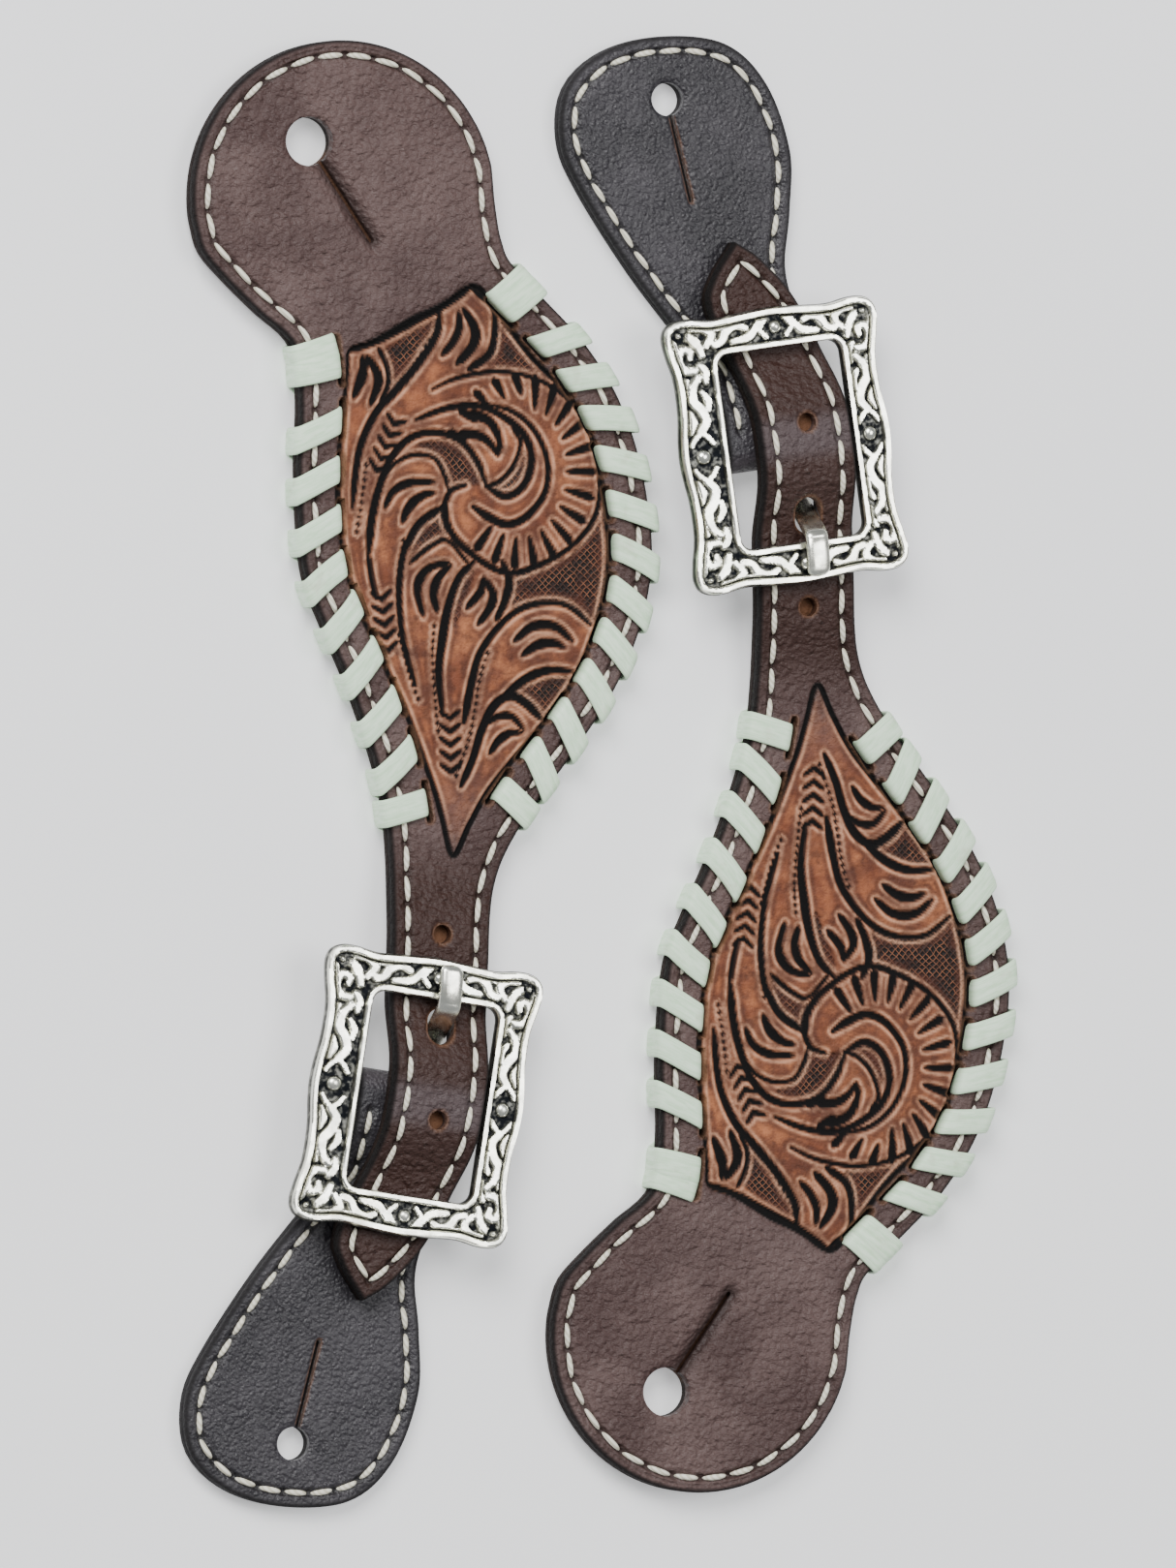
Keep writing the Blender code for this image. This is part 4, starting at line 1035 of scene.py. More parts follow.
# %% The scrolls
# in one quarter, u and v from the middle: the width at the start, the middle and the end, then the points
SCROLLS = [
    (1.0, 1.3, 0.8, [(13.7, 3.8), (12.7, 5.3), (13.2, 7.2), (14.3, 8.8), (14.0, 10.8), (12.9, 12.2)]),
    (0.6, 1.0, 0.4, [(15.3, 4.0), (14.7, 5.5), (15.1, 7.0)]),
    (0.5, 0.9, 0.4, [(12.1, 7.2), (12.0, 8.6), (12.8, 10.0)]),
    (0.5, 1.0, 0.5, [(15.5, 8.6), (15.5, 10.3), (14.9, 11.9)]),
    (0.5, 0.9, 0.5, [(11.9, 11.4), (11.8, 13.0), (12.6, 14.2)]),
    (0.9, 1.2, 0.6, [(13.4, 13.4), (14.9, 13.6), (15.8, 15.2), (15.1, 16.7), (13.8, 16.5), (13.9, 15.4)]),
    (0.8, 1.2, 0.6, [(12.0, 15.6), (12.5, 17.2), (13.5, 18.5), (15.0, 18.9)]),
    (0.4, 0.8, 0.4, [(16.0, 17.2), (16.1, 18.4), (15.5, 19.5)]),
    (0.7, 1.1, 0.5, [(11.2, 16.9), (10.1, 18.5), (11.3, 19.6), (13.2, 19.8)]),
    (0.8, 1.2, 0.7, [(9.9, 16.9), (8.6, 17.4), (7.8, 18.7), (6.3, 19.4), (4.8, 18.9)]),
    (0.4, 0.6, 0.3, [(9.2, 19.3), (8.2, 19.6)]),
    (0.7, 1.1, 0.6, [(6.9, 17.0), (5.4, 17.2), (4.1, 17.6), (3.3, 18.5), (2.6, 19.5)]),
    (0.4, 0.5, 0.4, [(15.4, 1.9), (14.6, 3.0), (13.7, 3.7)]),
    (0.4, 0.5, 0.4, [(12.0, 1.9), (12.8, 3.0), (13.7, 3.7)]),
    (0.4, 0.5, 0.4, [(1.6, 19.8), (2.3, 18.9), (2.8, 18.3)]),
    (0.4, 0.5, 0.4, [(1.6, 17.0), (2.3, 17.7), (2.8, 18.3)]),
]
BEADS = [(13.7, 0.0, 1.15), (0.0, 18.4, 1.0), (15.2, 19.0, 0.45)]
scroll_lines = [(smooth_curve(points, 0.3), widths) for *widths, points in SCROLLS]
print("strokes in a quarter", len(scroll_lines), "and beads", len(BEADS))

# %% [markdown]
# ## The relief
# The height at a point comes from its distance to the strokes, measured after the point is folded into
# the drawn quarter. The field between them lies low, and its finish is dark.


# %% The relief
FIELD_DEPTH, RELIEF_HEIGHT = -0.85, 0.8
RIM_FOOT, RIM_HEIGHT = -1.0, 0.95
OUTER_RIM, INNER_RIM = 0.62, 0.58  # half a rim's width, which is also how far its crest is from the edge


def relief(points):
    """Height of the frame's top at each point, below the rims' top, and how dark the old finish is there."""
    to_outer, _ = nearest_on(points, np.vstack([outer_line, outer_line[:1]]))
    to_inner, _ = nearest_on(points, np.vstack([inner_line, inner_line[:1]]))
    folded = abs(points - (FRAME_SHIFT * np.clip(abs(points[:, :1]) / 17, 0, 1)))
    folded = np.column_stack([folded[:, 0], abs(points[:, 1])])
    raised = np.zeros(len(points))
    for line, widths in scroll_lines:
        distance, along = nearest_on(folded, line)
        half = np.interp(along, [0, 0.5, 1], widths) / 2
        raised = np.maximum(raised, np.clip(1.4 * (1 - (distance / (1.05 * half + 0.28)) ** 4), 0, 1))
    for u, v, radius in BEADS:
        distance = np.hypot(folded[:, 0] - u, folded[:, 1] - v)
        lozenge = 1 - ease(radius + 0.45, radius + 0.75, distance)
        raised = raised * (1 - lozenge) + np.sqrt(np.clip(1 - (distance / radius) ** 2, 0, 1)) * lozenge
    rims = np.zeros(len(points))
    for distance, half in ((to_outer, OUTER_RIM), (to_inner, INNER_RIM)):
        rounded = np.sqrt(np.clip(1 - ((distance - half) / half) ** 2, 0, 1))
        rims = np.maximum(rims, np.clip(1.25 * rounded, 0, 1))
    field = np.minimum(to_outer - 1.5, to_inner - 1.35)
    in_field = ease(-0.25, 0.1, field)
    level = FIELD_DEPTH + RELIEF_HEIGHT * raised * in_field
    level = np.maximum(level, RIM_FOOT + RIM_HEIGHT * rims)
    edge = np.minimum(to_outer, to_inner)
    level = np.where((edge < 0.3) & (rims < 0.8), np.maximum(level, FIELD_DEPTH + 2.0 * edge), level)
    dark = 1 - ease(-0.75, -0.35, level)
    return level, dark


print("on a bead", round(float(relief(np.array([[13.7, 0.0]]))[0][0]), 2), "mm from the rims' top")

# %% [markdown]
# ## The frame's grid
# Rays from the middle meet the window and the outer edge, and a ring of rows between them carries the
# relief. Rows down the sides and across the flat back close it. The sides are painted dark too.


# %% The frame as a ring-shaped grid
AROUND, ACROSS = ((760, 50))
angles = np.linspace(0, 2 * math.pi, AROUND + 1)


def where_rays_meet(line, shift):
    """Where rays from the middle meet a closed outline, one for each angle."""
    polar = np.arctan2(line[:, 1], line[:, 0] - shift) % (2 * math.pi)
    order = np.argsort(polar)
    radius = np.hypot(line[order, 0] - shift, line[order, 1])
    reach = np.interp(angles % (2 * math.pi), polar[order], radius, period=2 * math.pi)
    return np.column_stack([shift + reach * np.cos(angles), reach * np.sin(angles)])


outer_ring, inner_ring = where_rays_meet(outer_line, 0), where_rays_meet(inner_line, 0)
share = np.linspace(0, 1, ACROSS)[None, :, None]
top_plan = inner_ring[:, None] * (1 - share) + outer_ring[:, None] * share
level, dark = relief(top_plan.reshape(-1, 2))
frame_top = FRAME_BOTTOM + FRAME_THICKNESS
heights = (frame_top + level).reshape(top_plan.shape[:2])
top_rows = np.dstack([top_plan, heights])
BACK_PULL, SIDE_TOP, SIDE_FOOT, SIDE_DARK = 0.25, 1.2, 0.4, 0.85


def ring_at(ring, pull, z):
    """A ring moved outward by pull, at one height."""
    way = ring / np.linalg.norm(ring, axis=1)[:, None]
    return np.column_stack([ring + way * pull, np.full(len(ring), z)])[:, None]


side_rows = [
    ring_at(outer_ring, 0.12, frame_top - SIDE_TOP),
    ring_at(outer_ring, 0.05, FRAME_BOTTOM + SIDE_FOOT),
    ring_at(outer_ring, -BACK_PULL, FRAME_BOTTOM),
    ring_at(inner_ring, BACK_PULL, FRAME_BOTTOM),
    ring_at(inner_ring, 0, FRAME_BOTTOM + SIDE_FOOT),
    ring_at(inner_ring, 0, frame_top - SIDE_TOP),
]
loop_rows = np.concatenate([top_rows, *side_rows, top_rows[:, :1]], axis=1)
buckle = grid_piece("left_buckle_scrolled_frame", loop_rows)
top_dark = dark.reshape(top_plan.shape[:2])
side_dark = np.full((AROUND + 1, len(side_rows)), SIDE_DARK)
darkness = np.concatenate([top_dark, side_dark, top_dark[:, :1]], axis=1).reshape(-1, 1)
paint(buckle, "finish", np.repeat(darkness, 4, axis=1))
close_up(buckle)
print("frame", len(buckle.data.polygons), "faces")

# %% [markdown]
# ## The lugs
# A block stands under the frame at each end of the bar and holds it. Both are joined to the frame, and
# the whole is then moved from the buckle's own flat place to its place on the strap.

# %% The lugs
LUG_AT, LUG_LENGTH, LUG_WIDTH = 13.4, 2.6, 6.0
LUG_FOOT, LUG_TOP = BAR_Z - 3.0, FRAME_BOTTOM + 0.8
LUG_ROUND, LUG_DARK = 0.7, 0.8
lugs = []
for side in (-1, 1):
    start_clean()
    bpy.ops.mesh.primitive_cube_add(size=1, location=(side * LUG_AT, 0, (LUG_FOOT + LUG_TOP) / 2))
    lug = bpy.context.object
    lug.scale = (LUG_LENGTH, LUG_WIDTH, LUG_TOP - LUG_FOOT)
    bpy.ops.object.transform_apply(location=True, rotation=False, scale=True)
    bevel = lug.modifiers.new("edges", "BEVEL")
    bevel.width, bevel.segments = LUG_ROUND, 4
    bpy.ops.object.modifier_apply(modifier=bevel.name)
    paint(lug, "finish", np.full((len(lug.data.vertices), 4), LUG_DARK))
    lugs.append(lug)
start_clean()
for piece in (*lugs, buckle):
    piece.select_set(True)
bpy.context.view_layer.objects.active = buckle
bpy.ops.object.join()
set_points(buckle, from_buckle(points_of(buckle) - (0, 0, BAR_Z)))
print("buckle", len(buckle.data.polygons), "faces")

# %% [markdown]
# ## The tongue
# The tongue is a bent flat wire whose end is rolled round the bar. The pin rises through its hole in the
# billet, turns over and rests on the frame's end bar, and its tip is rounded.

# %% The tongue's pin
TONGUE_HALF, TONGUE_THICK = 1.8, 0.85
TONGUE_LINE = [(2.0, 0.0), (8.0, 0.0), (9.0, 0.6), (13.6, 7.4), (15.0, 8.4), (17.5, 8.65), (19.8, 8.5),
               (20.7, 8.3)]
line = smooth_curve(TONGUE_LINE, 0.3)
way = np.gradient(line, axis=0)
way /= np.linalg.norm(way, axis=1)[:, None]
up = np.column_stack([-way[:, 1], way[:, 0]])
travelled = lengths_along(line)
TIP_LENGTH, TIP_SHARE = 1.2, 0.02
into_tip = np.clip(travelled - travelled[-1] + TIP_LENGTH, 0, TIP_LENGTH) / TIP_LENGTH
end_round = np.maximum(np.sqrt(np.clip(1 - into_tip ** 2, 0.0, 1)), TIP_SHARE)
section_angles = np.linspace(0, 2 * math.pi, 25)
pin = []
for angle in section_angles:
    a = math.copysign(abs(math.cos(angle)) ** 0.62, math.cos(angle))
    b = math.copysign(abs(math.sin(angle)) ** 0.62, math.sin(angle))
    side = TONGUE_AT + TONGUE_LEAN * line[:, 0] + a * TONGUE_HALF * end_round
    place = line + up * (b * TONGUE_THICK * end_round)[:, None]
    pin.append(np.column_stack([side, place]))
pin_grid = grid_piece("pin", np.stack(pin, axis=1))
print("pin", round(float(travelled[-1]), 1), "mm along its bends")

# %% [markdown]
# ## The tongue's roll
# The roll is a ring round the bar with a squarish section. It is joined to the pin, and both are moved
# to the buckle's place.

# %% The tongue's roll
ROLL_OUTER, ROLL_POINTS = 3.1, 65
ring_turns = np.linspace(0, 2 * math.pi, ROLL_POINTS)
ring = []
for angle in section_angles:
    a = math.copysign(abs(math.cos(angle)) ** 0.5, math.cos(angle))
    b = math.copysign(abs(math.sin(angle)) ** 0.5, math.sin(angle))
    radius = (FOLD_INNER + ROLL_OUTER) / 2 + b * (ROLL_OUTER - FOLD_INNER) / 2
    ring.append(np.column_stack([np.full(ROLL_POINTS, TONGUE_AT + a * TONGUE_HALF),
                                 radius * np.cos(ring_turns), radius * np.sin(ring_turns)]))
tongue = grid_piece("left_buckle_bent_tongue", np.stack(ring, axis=1))
for piece in (pin_grid, tongue):
    close_up(piece)
start_clean()
pin_grid.select_set(True)
tongue.select_set(True)
bpy.context.view_layer.objects.active = tongue
bpy.ops.object.join()
set_points(tongue, from_buckle(points_of(tongue)))
print("tongue", len(tongue.data.polygons), "faces")

# %% [markdown]
# ## The buckle strap
# The short strap is one ply, folded round the bar with a slot for the tongue, and lined under its button
# tab. It is cut and punched flat, and the fold is then a formula: flat, round the bar, and back.

# %% The buckle strap, flat
NECK, FLAP_END = 9.2, 17.0
FOLD_ARC = math.pi * (FOLD_INNER + PLY / 2)
SHORT_LEFT = [(-NECK, -12.5), (-13.5, -19.5), (-19.8, -30.2), (-25.9, -43.0), (-28.1, -51.0), (-26.2, -59.0),
              (-19.8, -63.8), (-10.3, -65.2)]
SHORT_RIGHT = [(NECK, -12.5), (6.2, -21.0), (5.5, -27.5), (7.4, -35.5), (8.8, -45.0), (6.4, -55.8),
               (0.4, -62.8), (-10.3, -65.2)]
SHORT_HOLE, SHORT_HOLE_RADIUS, SHORT_SLIT_END, SHORT_SLIT_WIDTH = (-10.0, -55.4), 2.6, (-8.4, -39.4), 0.8
whole = smooth_curve(SHORT_LEFT + SHORT_RIGHT[-2::-1], 0.4)
lowest = int(np.argmin(whole[:, 1]))
short_left = np.vstack([[(-NECK, FOLD_ARC + FLAP_END)], whole[:lowest + 1]])
short_right = np.vstack([[(NECK, FOLD_ARC + FLAP_END)], whole[:lowest - 1:-1]])
SHORT_COLUMNS, SHORT_STEP, SHORT_ROLL = (90), (0.42), 0.55
SHORT_PUNCH_LOW, SHORT_PUNCH_HIGH = -2, 4
short_rows = spaced_rows(short_left, short_right, even_step(SHORT_STEP), whole[lowest, 1],
                         FOLD_ARC + FLAP_END)
short_face = ply("left_buckle_strap_ply", short_left, short_right, short_rows, SHORT_COLUMNS, 0, PLY,
                 SHORT_ROLL)
short_hole = keyhole(SHORT_HOLE, SHORT_HOLE_RADIUS, SHORT_SLIT_END, SHORT_SLIT_WIDTH)
SLOT_CLEARANCE, SLOT_PAST = 0.45, 5
slot_left, slot_right = (TONGUE_AT + side * (TONGUE_HALF + SLOT_CLEARANCE) for side in (-1, 1))
slot = np.array([(slot_left, -SLOT_PAST), (slot_right, -SLOT_PAST),
                 (slot_right, FOLD_ARC + SLOT_PAST), (slot_left, FOLD_ARC + SLOT_PAST)])
punch(short_face, [short_hole, slot], SHORT_PUNCH_LOW, SHORT_PUNCH_HIGH)
print("buckle strap", len(short_face.data.polygons), "faces")

# %% [markdown]
# ## The fold
# In the flat strap t runs along it, 0 where the fold starts. Below 0 it lies nearly flat, between 0 and
# FOLD_ARC it goes round the bar, and past that it comes back underneath.


# %% The fold round the bar
def fold(points):
    """Where points of the flat strap lie round the bar, which is at height 0."""
    u, t, w = points.T
    rise = (FOLD_INNER - (SHORT_FACE_Z - BAR_Z)) * ease(RISE_FAR, RISE_NEAR, -t)
    angle = math.pi / 2 - math.pi * np.clip(t, 0, FOLD_ARC) / FOLD_ARC
    v_back = FOLD_ARC - t
    fold_outer = FOLD_INNER + PLY
    under = -FOLD_INNER - (BAR_Z - fold_outer) * ease(RISE_NEAR, RISE_FAR, -v_back) - w
    v = np.where(t <= 0, t, np.where(t < FOLD_ARC, (FOLD_INNER + w) * np.cos(angle), v_back))
    z = np.where(t <= 0, SHORT_FACE_Z - BAR_Z + rise + w,
                 np.where(t < FOLD_ARC, (FOLD_INNER + w) * np.sin(angle), under))
    return np.column_stack([u, v, z])


print("the fold starts at height", fold(np.array([[0.0, 0.0, 0.0]]))[0, 2].round(2), "over the bar's middle")

# %% [markdown]
# ## Working the buckle strap
# It has no carving: only the seam's groove, the pull between stitches, the dip round its button hole and
# some waviness. It is lowered flat and painted, with painted shade in its groove and a painted sheen on
# the fold, and then folded.

# %% The buckle strap, worked and folded
SHORT_PITCH = 4.15  # from stitch to stitch
short_flat = points_of(short_face)
short_plan = short_flat[:, :2]
short_loop = np.vstack([short_left, short_right[::-1]])
short_to_edge, _ = nearest_on(short_plan, short_loop)
seam_path = np.vstack([[(-NECK, -3.0)], whole, [(NECK, -3.0)]])
path_lengths = lengths_along(seam_path)
even_path = place_at(seam_path, path_lengths, np.arange(0, path_lengths[-1], 0.5))[0]
short_seam = offset_line(even_path, SEAM_INSET)
short_lengths = lengths_along(short_seam)
short_count = round(short_lengths[-1] / SHORT_PITCH)
short_at = (np.arange(short_count) + 0.5) * short_lengths[-1] / short_count
to_seam, seam_share = nearest_on(short_plan, short_seam)
groove = press(to_seam, 0, 0.3, 0.5)
phase = seam_share * short_count % 1.0
between = press(phase, 0, 0.06, 0.1) + press(phase, 1, 0.06, 0.1)
on_top = np.clip(short_flat[:, 2] / (PLY - SHORT_ROLL), 0, 1)
distance, _ = nearest_on(short_plan, np.vstack([short_hole, short_hole[:1]]))
hole_lip = 1 - ease(0, 0.6, distance)
lowered = 0.3 * groove + 0.3 * between * groove + 0.3 * hole_lip - 0.08 * wander(short_plan, 5.0, 4)
lowered = lowered * ease(0, -3, short_plan[:, 1])
short_flat[:, 2] -= lowered * on_top
set_points(short_face, from_buckle(fold(short_flat)))
zero = np.zeros(len(short_plan))
# Painted shade in the seam groove, kept in the finish attribute, which the dark leather does not read.
paint(short_face, "finish", np.column_stack([groove * 0.5, zero, zero, zero]))
to_slit, _ = nearest_on(short_plan, np.array([SHORT_HOLE, SHORT_SLIT_END]))
beyond = ease(SHORT_HOLE_RADIUS + 0.1, SHORT_HOLE_RADIUS + 0.5, np.hypot(*(short_plan - SHORT_HOLE).T))
slit_wall = 0.7 * (1 - ease(0.4, 0.6, to_slit)) * beyond
# Painted highlight: a sheen across the fold round the bar.
bend = press(short_plan[:, 1], FOLD_ARC / 2, 2.5, 2.0)
paint(short_face, "wear_and_painted_light", np.column_stack([slit_wall, bend, groove, 1 - ease(0.2, 1.0, short_to_edge)]))
print("folded", points_of(short_face).min(axis=0).round(1), points_of(short_face).max(axis=0).round(1))

# %% [markdown]
# ## The buckle strap's thread and lining
# The stitches follow the fold's height. The lining is a flat ply under the button tab, cut by the same
# hole and slit.


# %% The buckle strap's stitches and lining
SHORT_STITCH, SHORT_LINING_STEP, SHORT_LINING_COLUMNS = 3.5, 1.5, 16
SHORT_LINING_TOP, SHORT_LINING_ROLL = SHORT_FACE_Z - 0.05, 0.2


def short_height(point):
    """The height of the folded strap's face where the seam runs."""
    flat = np.column_stack([point, np.full(len(point), PLY - 0.12)])
    return fold(flat)[:, 2]


short_thread = stitches("left_buckle_strap_stitches", short_seam, short_lengths, short_at, SHORT_STITCH,
                        THREAD_THICKNESS, short_height)
set_points(short_thread, from_buckle(points_of(short_thread)))
low_left = short_left[short_left[:, 1] < -FLAP_END - 0.3]
low_right = short_right[short_right[:, 1] < -FLAP_END - 0.3]
low_rows = spaced_rows(low_left, low_right, even_step(SHORT_LINING_STEP), whole[lowest, 1],
                       min(low_left[0, 1], low_right[0, 1]))
short_lining = ply("left_buckle_strap_lining_ply", low_left, low_right, low_rows, SHORT_LINING_COLUMNS, 0,
                   SHORT_LINING_TOP, SHORT_LINING_ROLL)
punch(short_lining, [short_hole], SHORT_PUNCH_LOW, SHORT_PUNCH_HIGH)
set_points(short_lining, from_buckle(points_of(short_lining) - (0, 0, BAR_Z)))
print("buckle strap's lining", len(short_lining.data.polygons), "faces")

# %% [markdown]
# ## Finishes
# Every finish is built from nodes that read each piece's own coordinates and its painted attributes, so
# nothing slides when a piece moves. A small helper adds a node and links or sets its inputs.


# %% Node helpers
class Finish:
    """A new material and short ways to add nodes to it."""

    def __init__(self, name):
        self.material = bpy.data.materials.new(name)
        self.material.use_nodes = True
        self.tree = self.material.node_tree
        self.shader = self.tree.nodes["Principled BSDF"]
        self.place = self.add("ShaderNodeTexCoord").outputs["Object"]

    def add(self, kind, settings=(), **inputs):
        """A new node, with its settings and its inputs by name."""
        node = self.tree.nodes.new(kind)
        for key, value in dict(settings).items():
            setattr(node, key, value)
        for key, value in inputs.items():
            self.put(node.inputs[key.replace("_", " ")], value)
        return node

    def put(self, socket, value):
        """Links a socket to an input, or sets a plain value."""
        if isinstance(value, bpy.types.NodeSocket):
            self.tree.links.new(value, socket)
        else:
            socket.default_value = value

    def noise(self, scale, detail=4.0, roughness=0.55, at=None):
        """Cloudy noise, from 0 to 1."""
        node = self.add("ShaderNodeTexNoise", Scale=scale, Detail=detail, Roughness=roughness,
                        Vector=at or self.place)
        return node.outputs["Fac"]

    def ramp(self, value, low, high, to_low=0.0, to_high=1.0):
        """A soft step of value, from low to high."""
        node = self.add("ShaderNodeMapRange", {"interpolation_type": "SMOOTHSTEP"})
        for socket, number in zip(node.inputs[:5], (value, low, high, to_low, to_high)):
            self.put(socket, number)
        return node.outputs["Result"]

    def math(self, operation, a, b):
        """Two values put together. Only a difference is left unclamped."""
        node = self.add("ShaderNodeMath", {"operation": operation, "use_clamp": operation != "SUBTRACT"})
        self.put(node.inputs[0], a)
        self.put(node.inputs[1], b)
        return node.outputs["Value"]

    def mix(self, share, first, second):
        """A colour between two others."""
        node = self.add("ShaderNodeMix", {"data_type": "RGBA"})
        for index, value in ((0, share), (6, first), (7, second)):
            plain = isinstance(value, (float, bpy.types.NodeSocket))
            self.put(node.inputs[index], value if plain else (*value, 1))
        return node.outputs[2]

    def painted(self, name):
        """The four numbers of a painted attribute."""
        source = self.add("ShaderNodeAttribute", {"attribute_name": name})
        split = self.add("ShaderNodeSeparateColor", Color=source.outputs["Color"])
        return (*split.outputs, source.outputs["Alpha"])

    def pebbles(self, scale):
        """Rounded grains with creases between them."""
        warped = self.add("ShaderNodeTexVoronoi", {"feature": "SMOOTH_F1"}, Scale=scale, Smoothness=0.6,
                          Randomness=1.0, Vector=self.place)
        return self.math("SUBTRACT", 1.0, warped.outputs["Distance"])

    def bump(self, height, strength, distance, normal=None):
        """A surface that stands up with height, in metres, over another bump."""
        node = self.add("ShaderNodeBump", Height=height, Strength=strength, Distance=distance)
        if normal:
            self.put(node.inputs["Normal"], normal)
        return node.outputs["Normal"]

    def done(self, colour, roughness, normal, **plain):
        """The finished material."""
        for name, value in (("Base Color", colour), ("Roughness", roughness), ("Normal", normal)):
            self.put(self.shader.inputs[name], value)
        for name, value in plain.items():
            self.shader.inputs[name.replace("_", " ")].default_value = value
        return self.material


# %% [markdown]
# ## Leather
# The face is brown leather with a tan panel. Dye sits in the cuts, the crests beside them are paler, from
# rubbing and from a painted highlight, and a stamped background is a fine crossed pattern. The grain is a
# bump too small to model. The colours are mixed one over another: leather, stamping, dye, painted shade in
# the creases, a painted sheen on the billet's hump, then the dyed edges and the raw fibre.


# %% Tooled leather
GRAIN_SIZE = 1100.0  # grains in a metre


def tooled_leather():
    """Brown leather with the tooled tan panel."""
    look = Finish("tooled leather")
    black, tan, light, matting = look.painted("finish")
    raw, sheen, crease_shade, rim = look.painted("wear_and_painted_light")
    mottle, fine = look.noise(70, 5), look.noise(900, 4, 0.6)
    billet, halo = look.painted("tone")[:2]
    brown = look.mix(look.ramp(mottle, 0.35, 0.68), (0.066, 0.037, 0.034), (0.118, 0.075, 0.069))
    brown = look.mix(look.math("MULTIPLY", billet, 0.85), brown, (0.034, 0.0135, 0.0095))
    cloudy = look.ramp(look.noise(190, 6, 0.65), 0.36, 0.64)
    warm = look.mix(cloudy, (0.14, 0.043, 0.021), (0.46, 0.165, 0.070))
    warm = look.mix(look.ramp(mottle, 0.42, 0.62, 0.0, 0.5), warm, (0.24, 0.068, 0.028))
    colour = look.mix(tan, brown, warm)
    hatch_a = look.add("ShaderNodeTexWave", {"bands_direction": "DIAGONAL"}, Scale=560.0, Distortion=3.0,
                       Detail=2.0, Vector=look.place).outputs["Fac"]
    turned = look.add("ShaderNodeMapping", Vector=look.place, Rotation=(0, 0, math.pi / 2)).outputs["Vector"]
    hatch_b = look.add("ShaderNodeTexWave", {"bands_direction": "DIAGONAL"}, Scale=560.0, Distortion=3.0,
                       Detail=2.0, Vector=turned).outputs["Fac"]
    hatch = look.math("MAXIMUM", hatch_a, hatch_b)
    stamped = look.mix(look.ramp(hatch, 0.90, 1.0), (0.005, 0.004, 0.004), (0.26, 0.095, 0.045))
    clogged = look.ramp(look.noise(500, 3), 0.42, 0.62, 0.0, 0.85)
    stamped = look.mix(clogged, stamped, (0.008, 0.005, 0.005))
    colour = look.mix(matting, colour, stamped)
    # The pale crests beside the cuts: partly rubbed leather, partly a painted highlight.
    rubbed_and_highlight = look.math("MULTIPLY", light, look.math("MULTIPLY", tan, 0.62))
    colour = look.mix(rubbed_and_highlight, colour, (0.84, 0.46, 0.29))
    smear = look.ramp(look.noise(420, 4), 0.5, 0.72, 0.0, 0.55)
    colour = look.mix(look.math("MULTIPLY", tan, smear), colour, (0.035, 0.012, 0.008))
    patches = look.math("MULTIPLY", tan, look.ramp(look.noise(150, 3, 0.6), 0.52, 0.68, 0.0, 0.6))
    colour = look.mix(patches, colour, (0.085, 0.025, 0.014))
    # A darker band a little beyond each cut, in the tan panel.
    spread = look.ramp(look.noise(260, 3), 0.3, 0.6, 0.1, 0.75)
    dark_band = look.math("MULTIPLY", look.math("MULTIPLY", halo, tan), spread)
    colour = look.mix(dark_band, colour, (0.075, 0.022, 0.012))
    colour = look.mix(black, colour, (0.003, 0.0025, 0.0025))
    # Painted shade: darker in the seam groove, the edge crease and the slit's valley.
    colour = look.mix(look.math("MULTIPLY", crease_shade, 0.7), colour, (0.010, 0.006, 0.005))
    # Painted highlight: a paler sheen across the billet's hump.
    colour = look.mix(look.math("MULTIPLY", sheen, 0.35), colour, (0.15, 0.125, 0.135))
    colour = look.mix(look.math("MULTIPLY", rim, 0.95), colour, (0.005, 0.004, 0.004))
    colour = look.mix(raw, colour, (0.19, 0.09, 0.046))
    finest = look.noise(2600, 2)
    height = look.math("ADD", look.math("MULTIPLY", fine, 0.6), look.math("MULTIPLY", finest, 0.25))
    normal = look.bump(look.math("MULTIPLY", look.math("SUBTRACT", 1.0, matting), height), 1.0, 0.0005)
    normal = look.bump(look.math("MULTIPLY", matting, hatch), 0.8, 0.0002, normal)
    stretched = look.add("ShaderNodeMapping", Vector=look.place, Rotation=(0, 0, 0.6),
                         Scale=(0.8, 1.35, 1.0)).outputs["Vector"]
    wrinkles = look.math("MULTIPLY", look.math("SUBTRACT", 1.0, tan), look.noise(620, 3, 0.6, stretched))
    normal = look.bump(wrinkles, 0.9, 0.0006, normal)
    plain = look.math("SUBTRACT", 1.0, tan)
    normal = look.bump(look.math("MULTIPLY", plain, look.pebbles(GRAIN_SIZE)), 1.0, 0.0003, normal)
    duller = look.math("MAXIMUM", look.math("MULTIPLY", rim, 0.55), look.math("MULTIPLY", tan, 0.22))
    rough = look.math("ADD", look.ramp(fine, 0.3, 0.7, 0.40, 0.56), duller)
    return look.done(colour, look.math("MAXIMUM", rough, black), normal, Specular_IOR_Level=0.32)


